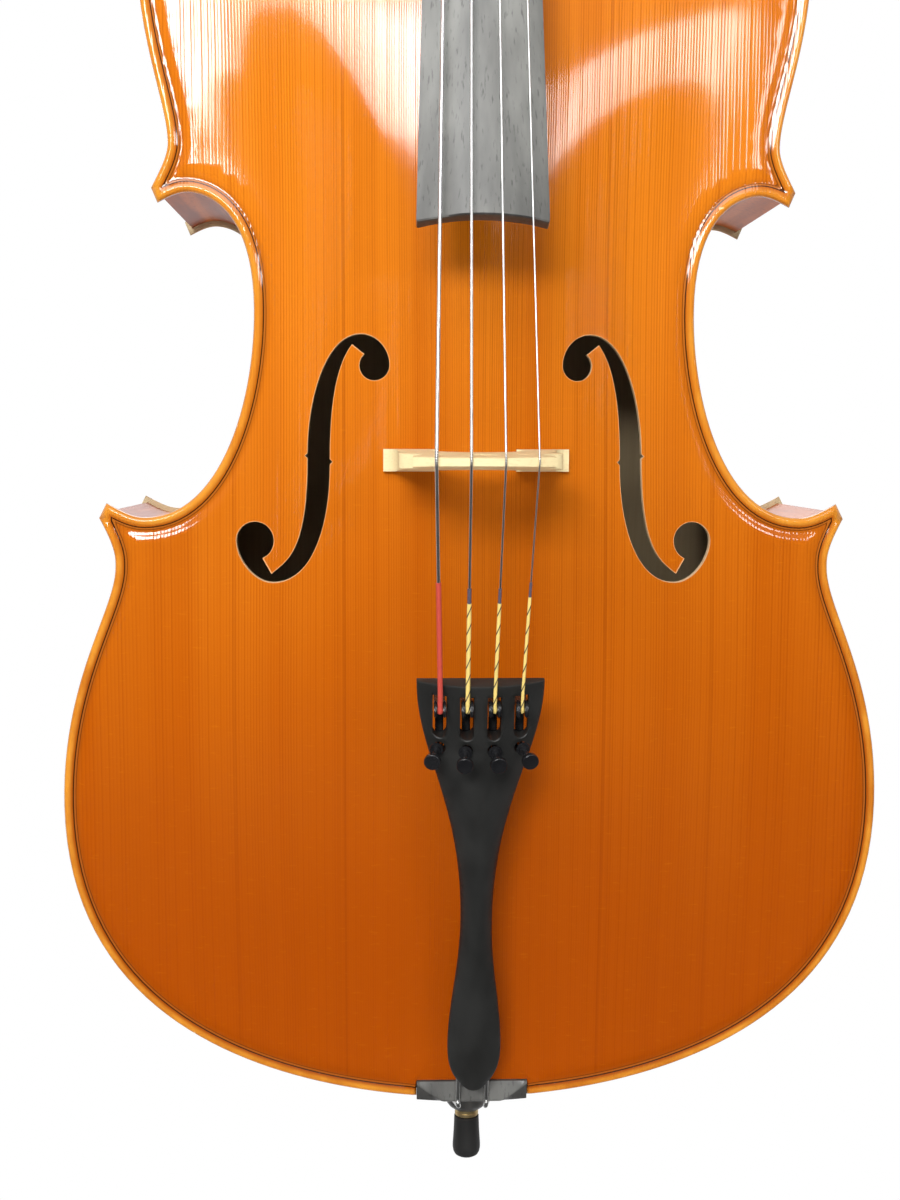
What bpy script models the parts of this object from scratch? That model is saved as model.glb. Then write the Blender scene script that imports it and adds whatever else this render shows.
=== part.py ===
"""Full-size cello as an assembly of separate pieces, in metres, +Z up along the strings.

The front (belly and strings) faces -Y, the bass side is at -X. Inside this file heights run from the
lower edge of the body; one parent empty lifts everything so that the tip of the endpin ends at z = 0.
"""
import math

import bmesh
import bpy
import numpy as np
from mathutils import Matrix, Vector
from mathutils.bvhtree import BVHTree
from mathutils.geometry import delaunay_2d_cdt

# Clearances
GLUE_GAP = 0.0003
FIT_GAP = 0.0005
TURN_GAP = 0.0004
CUT_OVER = 0.010
SHARP_ANGLE = math.radians(35)

# Body outline, half widths and heights above the lower edge
BODY_LENGTH = 0.755
LOWER_BOUT = 0.440
LOWER_BOUT_Z = 0.166
LOWER_DIP_IN = 0.030
LOWER_DIP_Z = 0.295
LOWER_CORNER_IN = 0.022
LOWER_CORNER_Z = 0.3205
LOWER_CORNER_WIDTH = 0.0088
LOWER_CORNER_TURN = math.radians(117)
HOOK_LOWER = (0.0200, 0.0075)
WAIST = 0.231
WAIST_Z = 0.430
HOOK_UPPER = (0.0153, 0.0054)
UPPER_CORNER_IN = 0.0053
UPPER_CORNER_Z = 0.491
UPPER_CORNER_WIDTH = 0.0080
UPPER_CORNER_TURN = math.radians(247)
UPPER_DIP_IN = 0.0142
UPPER_DIP_Z = 0.5136
UPPER_BOUT = 0.346
UPPER_BOUT_Z = 0.607
SIDE_LEAN = math.radians(62)
HOOK_LEAN = math.radians(28)

# Pulls of the outline's curves at the two ends of each stretch, from the endpin up to the neck
PULL_BOTTOM = (0.020, 0.166)
PULL_LOWER_SIDE = (0.0686, 0.0226)
PULL_LOWER_CORNER = (0.004, 0.0185)
PULL_LOWER_HOOK = (0.0074, 0.0072)
PULL_LOWER_WAIST = (0.0393, 0.0491)
PULL_UPPER_WAIST = (0.0535, 0.0081)
PULL_UPPER_HOOK = (0.005, 0.006)
PULL_UPPER_CORNER = (0.0082, 0.0066)
PULL_UPPER_SIDE = (0.0196, 0.0427)
PULL_SHOULDER = (0.085, 0.105)

# Ribs, linings and blocks
RIB_HEIGHT = 0.116
RIB_THICK = 0.0013
OVERHANG = 0.003
LINING_THICK = 0.002
LINING_HEIGHT = 0.012
CORNER_BLOCK_REACH = 0.030
END_BLOCK_HALF = 0.045
END_BLOCK_DEPTH = 0.034
NECK_BLOCK_HALF = 0.052
NECK_BLOCK_DEPTH = 0.052

# Plates
EDGE_THICK = 0.0045
EDGE_ROUND = 0.0012
CHANNEL_IN = 0.009
CHANNEL_DROP = 0.0011
CHANNEL_SPREAD = 0.005
ARCH_IN = 0.011
TOP_ARCH = 0.0245
TOP_THICK = 0.005
BACK_ARCH = 0.0255
BACK_THICK = 0.006
LONG_FULLNESS = 2.2
CROSS_FULLNESS = 1.15
END_FULLNESS = 8
PLATE_GRID = 0.034
EDGE_GAP_TOP = 0.004
BUTTON_HALF = 0.0150
BUTTON_HEIGHT = 0.021

# Sound holes, right-hand one, as distances from the centre line and heights
HOLE_UPPER_EYE = (0.0535, 0.4005)
HOLE_UPPER_RADIUS = 0.0076
HOLE_LOWER_EYE = (0.1153, 0.3090)
HOLE_LOWER_RADIUS = 0.0096
HOLE_STEM_OUTER = (0.0876, 0.3536)
HOLE_STEM_INNER = (0.0770, 0.3505)
HOLE_TOP = (0.0610, 0.4162)
HOLE_BOTTOM = (0.1055, 0.2877)
HOLE_UPPER_WING = (0.0654, 0.4112)
HOLE_LOWER_WING = (0.1078, 0.2924)
PULL_HOLE_OVER = (0.009, 0.008)
PULL_HOLE_OUTER = (0.019, 0.026)
PULL_HOLE_OUTER_END = (0.050, 0.010)
PULL_HOLE_UNDER = (0.010, 0.010)
PULL_HOLE_INNER = (0.020, 0.034)
PULL_HOLE_INNER_END = (0.036, 0.010)
HOLE_LOWER_WING_LEAN = math.radians(-41)
HOLE_UPPER_WING_LEAN = math.radians(128)

# Bass bar and sound post
BASS_BAR_X = -0.042
BASS_BAR_FOOT_CLEAR = 0.051
BASS_BAR_HEAD_CLEAR = 0.038
BASS_BAR_WIDTH = 0.011
BASS_BAR_HEIGHT = 0.024
BASS_BAR_END_HEIGHT = 0.006
POST_X = 0.036
POST_DROP = 0.019
POST_RADIUS = 0.0055

# Neck, pegbox and scroll
NECK_LENGTH = 0.280
OVERSTAND = 0.021
TENON_HALF = 0.0165
TENON_DEPTH = 0.016
NECK_HALF_BODY = 0.0205
NECK_HALF_NUT = 0.0155
NECK_DEPTH_BODY = 0.0205
NECK_DEPTH_NUT = 0.0175
HEEL_RISE = 0.066
SHOULDER_EASE = 0.0008
HEEL_POWER = 4.0
HEEL_ROUND = 0.7
TENON_ROUND = 0.2
NECK_SEAM = 0.0001
PEGBOX_LENGTH = 0.158
PEGBOX_LEAN = math.radians(17)
PEGBOX_HALF_NUT = 0.0215
PEGBOX_HALF_TOP = 0.0150
PEGBOX_DEPTH_NUT = 0.033
PEGBOX_DEPTH_TOP = 0.024
PEGBOX_WALL_NUT = 0.0080
PEGBOX_WALL_TOP = 0.0062
PEGBOX_FLOOR = 0.0068
TROUGH_START = 0.03
TROUGH_END = 0.86
PEGBOX_CORNER = 0.0012
PEGBOX_CHIN = 0.016
PEGBOX_END_TUCK = 0.004
SCROLL_RADIUS = 0.0335
SCROLL_EYE = 0.0090
SCROLL_TURNS = 2
SCROLL_OVERLAP = 0.008
SCROLL_TUCK = 0.0003
SCROLL_STEPS = 20
SCROLL_HALF_EYE = 0.0310
SCROLL_FLARE = 1.6

# Fingerboard and nut
BOARD_LENGTH = 0.580
BOARD_HALF_END = 0.0316
BOARD_HALF_NUT = 0.0160
BOARD_EDGE = 0.0065
BOARD_RADIUS = 0.065
BOARD_FLAT_SHARE = 0.36
BOARD_HOLLOW = 0.005
BOARD_HOLLOW_RUN = 0.060
PROJECTION = 0.081
NUT_LENGTH = 0.008
NUT_RAISE = 0.0012
NUT_FALL = 0.003

# Bridge
BRIDGE_Z = 0.3515
BRIDGE_HEIGHT = 0.0885
BRIDGE_FOOT_HALF = 0.0479
BRIDGE_FOOT_INNER = 0.0205
BRIDGE_FOOT_THICK = 0.0115
BRIDGE_TOP_THICK = 0.0028
BRIDGE_TOP_HALF = 0.0335
BRIDGE_TOP_RADIUS = 0.064
BRIDGE_TAPER = 0.8

# Bridge outline, right half, as distances from the centre line and heights above the belly's crown
BRIDGE_TOE = 0.0035
BRIDGE_INNER_TOE = 0.0040
BRIDGE_ANKLE = (0.0400, 0.009)
BRIDGE_HIP = (0.0345, 0.036)
BRIDGE_WING = (0.0400, 0.044)
BRIDGE_WAIST = (0.0285, 0.056)
BRIDGE_SHOULDER_DROP = 0.014
BRIDGE_KNEE = (0.0255, 0.014)
BRIDGE_BOW = 0.033
BRIDGE_HEART = ((0, 0.047), (0.0085, 0.056), (0.0075, 0.063), (0, 0.0605))
BRIDGE_EYE = (0.0205, 0.0530)
BRIDGE_EYE_RADIUS = 0.0042
PULL_TOE = (0.005, 0.004)
PULL_LEG = (0.012, 0.008)
PULL_HIP = (0.003, 0.003)
PULL_WING = (0.004, 0.006)
PULL_BRIDGE_TOP = (0.008, 0.006)
PULL_KNEE = (0.003, 0.004)
PULL_BOW = (0.010, 0.010)

# Strings, from bass to treble: name, thickness and place across the bridge and the nut
STRING_NAMES = ("c", "g", "d", "a")
STRING_RADII = (0.00088, 0.00068, 0.00050, 0.00038)
STRING_SPACING_BRIDGE = 0.0158
STRING_CENTRE_BRIDGE = 0.0012
STRING_SPACING_NUT = 0.0075

# Pegs, from bass to treble: height above the nut and the side that carries the head
PEG_HEIGHTS = (0.034, 0.089, 0.112, 0.057)
PEG_SIDES = (-1, -1, 1, 1)
PEG_RADIUS = 0.0062
PEG_TAPER = 1 / 25
PEG_DEPTH_IN = 0.0105
PEG_HEAD_LENGTH = 0.034
PEG_HEAD_HALF = 0.0150
PEG_HEAD_THICK = 0.0075
PEG_HEAD_EASE = 0.002
PEG_COLLAR = 0.0095
PEG_COLLAR_LENGTH = 0.003
PEG_COLLAR_CLEAR = 0.004
PEG_NECK_LENGTH = 0.007
PEG_NECK_RADIUS = 0.0045
PEG_POINT = 0.002
PEG_BUTTON = 0.0022
PEG_SIDES_COUNT = 20
HOLE_SIDES = 12
COIL_LOOPS = 3
COIL_POINTS = 24
COIL_LEAST_GAP = 0.0006
COIL_GATHER = 0.55
COIL_BEND_STEPS = 3

# Tailpiece and fine tuners, along the tailpiece from its upper end
AFTER_LENGTH = 0.112
TAIL_LENGTH = 0.2285
TAIL_HALF_TOP = 0.0313
TAIL_HALF_WAIST = 0.0081
TAIL_WAIST_AT = 0.135
TAIL_HALF_FLARE = 0.0139
TAIL_FLARE_AT = 0.208
TAIL_THICK = 0.012
TAIL_THICK_TO = 0.050
TAIL_THICK_END = 0.0070
TAIL_EDGE_TOP = 0.0045
TAIL_EDGE_END = 0.0040
PULL_TAIL_UPPER = (0.040, 0.070)
PULL_TAIL_LOWER = (0.030, 0.022)
PULL_TAIL_END = (0.011, 0.008)
TUNER_SPACING = 0.0133
SLOT_HALF = 0.0034
SLOT_START = 0.0060
SLOT_END = 0.0290
LEVER_HALF = 0.0026
LEVER_ARM = 0.0036
LEVER_AT = 0.0115
LEVER_RISE = 0.0045
LEVER_SLIT = 0.0022
LEVER_SLIT_DEPTH = 0.0025
LEVER_PAST_SCREW = 0.004
STRING_END_SHORT = 0.001
TAIL_FRET_AT = 0.002
SCREW_AT = 0.0345
SCREW_RADIUS = 0.0015
SCREW_FAN = 8.5
SCREW_HOLE_GAP = 0.0016
KNOB_CHAMFER = 0.0010
SCREW_LENGTH = 0.0100
SCREW_KNOB_RADIUS = 0.0041
SCREW_KNOB_LENGTH = 0.0062

# Saddle, tail wire and endpin
SADDLE_HALF = 0.0300
SADDLE_DEPTH = 0.0100
SADDLE_CREST_HALF = 0.0120
SADDLE_CREST = 0.0110
SADDLE_LIP = 0.0016
SADDLE_BREAK = 0.006
SADDLE_BREAK_DROP = 0.0012
SADDLE_ROUND = 0.0010
WIRE_RADIUS = 0.0013
WIRE_HALF = 0.0078
WIRE_GRIP = 0.016
WIRE_BEND_OUT = 0.0022
WIRE_BEND_DOWN = 0.0035
WIRE_SPREAD = 0.0025
PLUG_OUT = 0.0335
PLUG_RADIUS = 0.0125
PLUG_FLANGE = 0.0165
PLUG_FLANGE_END = 0.0045
PLUG_GROOVE = 0.0112
PLUG_GROOVE_END = 0.0105
PLUG_TAPER_LENGTH = 0.030
PLUG_TAPER_RADIUS = 0.0110
PLUG_TAPER_TIP = 0.0101
PLUG_CHAMFER = 0.0008
PLUG_SIDES = 24
ROD_RADIUS = 0.0040
ROD_INSIDE = 0.430
ROD_CHAMFER = 0.0010
ROD_SIDES = 16
FERRULE_RADIUS = 0.0070
FERRULE_LENGTH = 0.0045
FERRULE_CHAMFER = 0.0005
TIP_RADIUS_TOP = 0.0073
TIP_RADIUS = 0.0082
TIP_RADIUS_END = 0.0060
TIP_LENGTH = 0.0245
TIP_SOCKET = 0.0140
TIP_WIDEST = 0.0070
TIP_CHAMFER = 0.0040
CLAMP_Z = 0.0230
CLAMP_RADIUS = 0.0026
CLAMP_HEAD_RADIUS = 0.0080
CLAMP_HEAD_LENGTH = 0.0060
CLAMP_CHAMFER = 0.0010

FRONT = -RIB_HEIGHT / 2
BACK = RIB_HEIGHT / 2
BODY_BOTTOM = PLUG_OUT + FERRULE_LENGTH + TIP_LENGTH + 2 * GLUE_GAP
NUT_Z = BODY_LENGTH + NECK_LENGTH


# Scene and material helpers
for old in list(bpy.data.objects):
    bpy.data.objects.remove(old, do_unlink=True)

CELLO = bpy.data.objects.new("cello", None)
CELLO.location = (0, 0, BODY_BOTTOM)
bpy.context.scene.collection.objects.link(CELLO)


def material(name, color, roughness, metallic=0.0):
    mat = bpy.data.materials.new(name)
    mat.use_nodes = True
    shader = mat.node_tree.nodes["Principled BSDF"]
    shader.inputs["Base Color"].default_value = (*color, 1)
    shader.inputs["Roughness"].default_value = roughness
    shader.inputs["Metallic"].default_value = metallic
    return mat


SPRUCE = material("spruce_varnish", (0.42, 0.14, 0.03), 0.25)
MAPLE = material("maple_varnish", (0.30, 0.09, 0.03), 0.25)
BARE_SPRUCE = material("bare_spruce", (0.72, 0.55, 0.34), 0.7)
EBONY = material("ebony", (0.02, 0.018, 0.018), 0.4)
BRIDGE_MAPLE = material("bridge_maple", (0.72, 0.58, 0.36), 0.55)
STEEL = material("string_steel", (0.6, 0.6, 0.6), 0.3, 1.0)
PLASTIC = material("black_plastic", (0.015, 0.015, 0.016), 0.45)
KNOB = material("black_gloss", (0.01, 0.01, 0.011), 0.2)
BRASS = material("brass", (0.7, 0.5, 0.2), 0.3, 1.0)
RUBBER = material("rubber", (0.02, 0.02, 0.02), 0.85)


def link(name, data, mat, origin=(0, 0, 0)):
    obj = bpy.data.objects.new(name, data)
    obj.data.materials.append(mat)
    obj.parent = CELLO
    obj.location = origin
    bpy.context.scene.collection.objects.link(obj)
    return obj


def finish(name, bm, mat, origin=(0, 0, 0)):
    """Close a bmesh into a named object whose origin lies at the given point."""
    bmesh.ops.remove_doubles(bm, verts=bm.verts, dist=1e-7)
    bmesh.ops.recalc_face_normals(bm, faces=bm.faces)
    bmesh.ops.translate(bm, verts=bm.verts, vec=-Vector(origin))
    mesh = bpy.data.meshes.new(name)
    bm.to_mesh(mesh)
    bm.free()
    mesh.shade_smooth()
    mesh.set_sharp_from_angle(angle=SHARP_ANGLE)
    return link(name, mesh, mat, origin)


def loft(rings):
    """Skin a row of closed rings that have the same number of points, with flat ends."""
    bm = bmesh.new()
    rows = [[bm.verts.new(p) for p in ring] for ring in rings]
    count = len(rows[0])
    for low, high in zip(rows, rows[1:]):
        for i in range(count):
            bm.faces.new((low[i], low[(i + 1) % count], high[(i + 1) % count], high[i]))
    bm.faces.new(rows[0])
    bm.faces.new(rows[-1])
    return bm


def turned(profile, sides, axis="Z", centre=(0, 0, 0)):
    """Turn a closed profile of (radius, height) points; a radius of zero makes a pole."""
    place = {"X": lambda r, a, h: (h, r * math.cos(a), r * math.sin(a)),
             "Y": lambda r, a, h: (r * math.cos(a), h, r * math.sin(a)),
             "Z": lambda r, a, h: (r * math.cos(a), r * math.sin(a), h)}[axis]
    bm = bmesh.new()
    rows = []
    for k in range(sides):
        angle = 2 * math.pi * (k + 0.5) / sides
        rows.append([bm.verts.new(Vector(centre) + Vector(place(r, angle, h))) for r, h in profile])
    count = len(profile)
    for k in range(sides):
        near, far = rows[k], rows[(k + 1) % sides]
        for i in range(count):
            j = (i + 1) % count
            if profile[i][0] == 0 and profile[j][0] == 0:
                continue
            bm.faces.new((near[i], near[j], far[j], far[i]))
    bmesh.ops.remove_doubles(bm, verts=bm.verts, dist=1e-7)
    return bm


def prism(outline, low, high):
    """Push a closed plan outline from low to high in depth."""
    return loft([[(x, depth, z) for x, z in outline] for depth in (low, high)])


def strip(outer, inner, low, high):
    """A bent strip between two plan curves, from low to high in depth."""
    rings = []
    for a, b in zip(outer, inner):
        rings.append([(a[0], low, a[1]), (a[0], high, a[1]), (b[0], high, b[1]), (b[0], low, b[1])])
    return loft(rings)


def cut(target, cutter, operation="DIFFERENCE"):
    """Combine a piece with a hidden helper body by a Boolean."""
    cutter.hide_render = True
    cutter.display_type = "WIRE"
    step = target.modifiers.new("cut", "BOOLEAN")
    step.operation = operation
    step.solver = "EXACT"
    step.object = cutter


def tube(name, points, radius, mat, resolution=2, origin=(0, 0, 0)):
    """A round cord along a row of points, with closed ends."""
    curve = bpy.data.curves.new(name, "CURVE")
    curve.dimensions = "3D"
    curve.bevel_depth = radius
    curve.bevel_resolution = resolution
    curve.use_fill_caps = True
    spline = curve.splines.new("POLY")
    spline.points.add(len(points) - 1)
    for spot, p in zip(spline.points, points):
        spot.co = (*(Vector(p) - Vector(origin)), 1)
    return link(name, curve, mat, origin)


# Plan curves of the body
def bezier(start, lean_start, end, lean_end, pulls, steps):
    """Points of a cubic curve that leaves and arrives at the given directions."""
    p0 = np.array(start)
    p3 = np.array(end)
    p1 = p0 + pulls[0] * np.array((math.cos(lean_start), math.sin(lean_start)))
    p2 = p3 - pulls[1] * np.array((math.cos(lean_end), math.sin(lean_end)))
    t = np.linspace(0, 1, steps + 1)[:, None]
    return (1 - t) ** 3 * p0 + 3 * (1 - t) ** 2 * t * p1 + 3 * (1 - t) * t ** 2 * p2 + t ** 3 * p3


def chain(*curves):
    return np.vstack([curves[0]] + [c[1:] for c in curves[1:]])


RIGHT = 0.0
UP = math.pi / 2
LEFT = math.pi


def body_curves():
    """Right half of the plate edge: lower bout, waist and upper bout as three curves."""
    lower = (LOWER_BOUT / 2, LOWER_BOUT_Z)
    dip = (LOWER_BOUT / 2 - LOWER_DIP_IN, LOWER_DIP_Z)
    tip = (LOWER_BOUT / 2 - LOWER_CORNER_IN, LOWER_CORNER_Z)
    inside = (tip[0] + LOWER_CORNER_WIDTH * math.cos(LOWER_CORNER_TURN),
              tip[1] + LOWER_CORNER_WIDTH * math.sin(LOWER_CORNER_TURN))
    hook = (inside[0] - HOOK_LOWER[0], inside[1] - HOOK_LOWER[1])
    waist = (WAIST / 2, WAIST_Z)
    upper_tip = (UPPER_BOUT / 2 - UPPER_CORNER_IN, UPPER_CORNER_Z)
    upper_inside = (upper_tip[0] + UPPER_CORNER_WIDTH * math.cos(UPPER_CORNER_TURN),
                    upper_tip[1] + UPPER_CORNER_WIDTH * math.sin(UPPER_CORNER_TURN))
    upper_hook = (upper_inside[0] - HOOK_UPPER[0], upper_inside[1] + HOOK_UPPER[1])
    upper_dip = (UPPER_BOUT / 2 - UPPER_DIP_IN, UPPER_DIP_Z)
    upper = (UPPER_BOUT / 2, UPPER_BOUT_Z)
    lower_curve = chain(
        bezier((0, 0), RIGHT, lower, UP, PULL_BOTTOM, 14),
        bezier(lower, UP, dip, UP, PULL_LOWER_SIDE, 8),
        bezier(dip, UP, tip, SIDE_LEAN, PULL_LOWER_CORNER, 4))
    waist_curve = chain(
        bezier(inside, LEFT + HOOK_LEAN, hook, LEFT, PULL_LOWER_HOOK, 3),
        bezier(hook, LEFT, waist, UP, PULL_LOWER_WAIST, 9),
        bezier(waist, UP, upper_hook, RIGHT, PULL_UPPER_WAIST, 7),
        bezier(upper_hook, RIGHT, upper_inside, -HOOK_LEAN, PULL_UPPER_HOOK, 3))
    upper_curve = chain(
        bezier(upper_tip, LEFT - SIDE_LEAN, upper_dip, UP, PULL_UPPER_CORNER, 4),
        bezier(upper_dip, UP, upper, UP, PULL_UPPER_SIDE, 6),
        bezier(upper, UP, (0, BODY_LENGTH), LEFT, PULL_SHOULDER, 14))
    return lower_curve, waist_curve, upper_curve


LOWER_CURVE, WAIST_CURVE, UPPER_CURVE = body_curves()


def inset(curve, distance):
    """Move a plan curve towards the inside of the body, which lies on its left."""
    steps = np.gradient(curve, axis=0)
    steps /= np.hypot(steps[:, 0], steps[:, 1])[:, None]
    return curve + distance * np.stack((-steps[:, 1], steps[:, 0]), axis=1)


def lengths(curve):
    return np.concatenate(([0], np.cumsum(np.hypot(*np.diff(curve, axis=0).T))))


def portion(curve, start, end):
    """The stretch of a curve between two distances along it, with its ends put in exactly."""
    along = lengths(curve)
    keep = curve[(along > start + 1e-4) & (along < end - 1e-4)]
    ends = [[np.interp(s, along, curve[:, k]) for k in (0, 1)] for s in (start, end)]
    return np.vstack([ends[0], keep, ends[1]])


def length_at_x(curve, x):
    """Distance along a curve to where it last passes a given x."""
    along = lengths(curve)
    sign = np.nonzero(np.diff(np.sign(curve[:, 0] - x)))[0][-1]
    share = (x - curve[sign, 0]) / (curve[sign + 1, 0] - curve[sign, 0])
    return along[sign] + share * (along[sign + 1] - along[sign])


def mirrored(curve):
    return curve * np.array((-1, 1))


def plate_loop(top_half, top_points):
    """Whole plate edge, anticlockwise, with its own run of points across the top."""
    half_top = portion(UPPER_CURVE, 0, length_at_x(UPPER_CURVE, top_half))
    half = np.vstack([LOWER_CURVE, WAIST_CURVE, half_top])
    left = mirrored(half[1:])[::-1]
    return np.vstack([half, top_points, left])


# Plates
def inside(points, loop):
    """True for the points that lie inside a closed plan loop."""
    x, z = points[:, 0][:, None], points[:, 1][:, None]
    ax, az = loop[:, 0], loop[:, 1]
    bx, bz = np.roll(ax, -1), np.roll(az, -1)
    spans = (az > z) != (bz > z)
    rise = np.where(bz == az, 1e-12, bz - az)
    hits = spans & (x < ax + (z - az) * (bx - ax) / rise)
    return hits.sum(axis=1) % 2 == 1


def edge_distance(points, loop):
    """Least distance from each point to a closed plan loop."""
    a = loop[None]
    ab = (np.roll(loop, -1, axis=0) - loop)[None]
    ap = points[:, None] - a
    t = np.clip((ap * ab).sum(2) / np.maximum((ab ** 2).sum(2), 1e-15), 0, 1)
    return np.hypot(*np.moveaxis(ap - t[..., None] * ab, 2, 0)).min(axis=1)


EDGE = plate_loop(EDGE_GAP_TOP, np.array([(0.0, BODY_LENGTH)]))


def blend(value, low, high):
    t = np.clip((value - low) / (high - low), 0, 1)
    return (1 - np.cos(math.pi * t)) / 2


def arch_half_width(z):
    """Half width of the arched field, which ignores the corners."""
    lower = LOWER_BOUT / 2 - ARCH_IN
    waist = WAIST / 2 - ARCH_IN
    upper = UPPER_BOUT / 2 - ARCH_IN
    width = lower + (waist - lower) * blend(z, LOWER_BOUT_Z, WAIST_Z)
    width = width + (upper - waist) * blend(z, WAIST_Z, UPPER_BOUT_Z)
    share = np.clip(np.abs(z - BODY_LENGTH / 2) / (BODY_LENGTH / 2 - ARCH_IN), 0, 1)
    return width * np.sqrt(1 - share ** END_FULLNESS) + 1e-6


def outer_height(points, arch):
    """Height of a plate's outer face above the plane of the ribs."""
    x, z = points[:, 0], points[:, 1]
    share = np.clip(np.abs(z - BODY_LENGTH / 2) / (BODY_LENGTH / 2 - ARCH_IN), 0, 1)
    along = (1 + np.cos(math.pi * share ** LONG_FULLNESS)) / 2
    cross = np.clip(np.abs(x) / arch_half_width(z), 0, 1)
    across = (1 + np.cos(math.pi * cross ** CROSS_FULLNESS)) / 2
    distance = edge_distance(points, EDGE)
    channel = CHANNEL_DROP * np.exp(-((distance - CHANNEL_IN) / CHANNEL_SPREAD) ** 2)
    rounding = EDGE_ROUND * np.clip(1 - distance / EDGE_ROUND, 0, 1)
    return EDGE_THICK - channel - rounding + (arch - EDGE_THICK) * along * across


def plate_points(loop, holes):
    """Points along the channel and over the field of a plate, clear of its edges and holes."""
    ring = inset(np.vstack([loop, loop[:2]]), CHANNEL_IN)[1:-1]
    ring = ring[inside(ring, EDGE)]
    ring = ring[edge_distance(ring, EDGE) > 0.95 * CHANNEL_IN]
    across = np.arange(-LOWER_BOUT / 2, LOWER_BOUT / 2, PLATE_GRID)
    across = across - across.mean()
    up = np.arange(PLATE_GRID, BODY_LENGTH, PLATE_GRID)
    field = np.array([(x, z) for x in across for z in up])
    field = field[inside(field, loop)]
    field = field[edge_distance(field, EDGE) > CHANNEL_IN + 0.3 * PLATE_GRID]
    extra = np.vstack([ring, field])
    for hole in holes:
        extra = extra[~inside(extra, hole) & (edge_distance(extra, hole) > 0.2 * PLATE_GRID)]
    extra = extra[edge_distance(extra, loop) > 0.5 * CHANNEL_IN]
    return extra


def plate_faces(loop, holes, extra):
    """Triangles over a plan with holes, through its edge points and some points between."""
    rows = [loop] + holes
    points = np.vstack(rows + ([extra] if len(extra) else []))
    edges = []
    for row in rows:
        first = edges[-1][0] + 1 if edges else 0
        edges += [(first + i, first + (i + 1) % len(row)) for i in range(len(row))]
    spots, _, faces, _, _, _ = delaunay_2d_cdt([Vector(p) for p in points], edges, [], 0, 1e-7)
    spots = np.array([tuple(p) for p in spots])
    middles = np.array([spots[list(f)].mean(axis=0) for f in faces])
    keep = inside(middles, loop)
    for hole in holes:
        keep &= ~inside(middles, hole)
    return spots, [f for f, k in zip(faces, keep) if k]


def shell(spots, faces, place_outer, place_inner):
    """Close two faces over the same plan triangles with walls along every open edge."""
    bm = bmesh.new()
    outer = [bm.verts.new(p) for p in place_outer]
    inner = [bm.verts.new(p) for p in place_inner]
    open_edges = {}
    for face in faces:
        bm.faces.new([outer[i] for i in face])
        bm.faces.new([inner[i] for i in reversed(face)])
        for a, b in zip(face, face[1:] + face[:1]):
            if (b, a) in open_edges:
                del open_edges[(b, a)]
            else:
                open_edges[(a, b)] = True
    for a, b in open_edges:
        bm.faces.new((outer[b], outer[a], inner[a], inner[b]))
    loose = [v for v in bm.verts if not v.link_faces]
    bmesh.ops.delete(bm, geom=loose, context="VERTS")
    return bm


def make_plate(name, mat, loop, holes, arch, thick, plane, outward):
    """A carved plate: arched outside, hollowed inside, flat where the ribs are glued."""
    spots, faces = plate_faces(loop, holes, plate_points(loop, holes))
    outer = outer_height(spots, arch)
    inner = np.maximum(0, outer - thick)
    inner = np.where(edge_distance(spots, EDGE) < ARCH_IN, 0, inner)
    face_out = [(x, plane + outward * (GLUE_GAP + h), z) for (x, z), h in zip(spots, outer)]
    face_in = [(x, plane + outward * (GLUE_GAP + h), z) for (x, z), h in zip(spots, inner)]
    return finish(name, shell(spots, faces, face_out, face_in), mat)


def arc(centre, radius, start, end, steps):
    angles = np.radians(np.linspace(start, end, steps + 1))
    return np.stack((centre[0] + radius * np.cos(angles), centre[1] + radius * np.sin(angles)), axis=1)


def sound_hole():
    """Right-hand sound hole as one closed loop: round eyes, pointed wings and a slim stem."""
    upper_eye = arc(HOLE_UPPER_EYE, HOLE_UPPER_RADIUS, 48, -180, 9)
    over = bezier(upper_eye[-1], UP, HOLE_TOP, RIGHT, PULL_HOLE_OVER, 4)
    outer = bezier(HOLE_TOP, RIGHT, HOLE_STEM_OUTER, -UP, PULL_HOLE_OUTER, 6)
    outer_end = bezier(HOLE_STEM_OUTER, -UP, HOLE_LOWER_WING, HOLE_LOWER_WING_LEAN, PULL_HOLE_OUTER_END, 6)
    lower_eye = arc(HOLE_LOWER_EYE, HOLE_LOWER_RADIUS, 247, 0, 9)
    under = bezier(lower_eye[-1], -UP, HOLE_BOTTOM, LEFT, PULL_HOLE_UNDER, 4)
    inner = bezier(HOLE_BOTTOM, LEFT, HOLE_STEM_INNER, UP, PULL_HOLE_INNER, 6)
    inner_end = bezier(HOLE_STEM_INNER, UP, HOLE_UPPER_WING, HOLE_UPPER_WING_LEAN, PULL_HOLE_INNER_END, 6)
    return np.vstack([chain(upper_eye, over, outer, outer_end), chain(lower_eye, under, inner, inner_end)])


def make_top():
    """Belly: notched for the neck root at the top and for the saddle at the bottom."""
    half = TENON_HALF + FIT_GAP
    deep = BODY_LENGTH - TENON_DEPTH - FIT_GAP
    notch = np.array([(half, deep), (-half, deep)])
    loop = plate_loop(half, notch)
    saddle_half = SADDLE_HALF + FIT_GAP
    saddle_top = SADDLE_DEPTH + FIT_GAP
    low = portion(LOWER_CURVE, 0, length_at_x(LOWER_CURVE, saddle_half))[-1]
    keep = loop[(np.abs(loop[:, 0]) > saddle_half) | (loop[:, 1] > BODY_LENGTH / 2)]
    start = [(-saddle_half, low[1]), (-saddle_half, saddle_top), (saddle_half, saddle_top), tuple(low)]
    loop = np.vstack([start, keep])
    right = sound_hole()
    return make_plate("top_plate", SPRUCE, loop, [right, mirrored(right)], TOP_ARCH, TOP_THICK, FRONT, -1)


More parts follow.
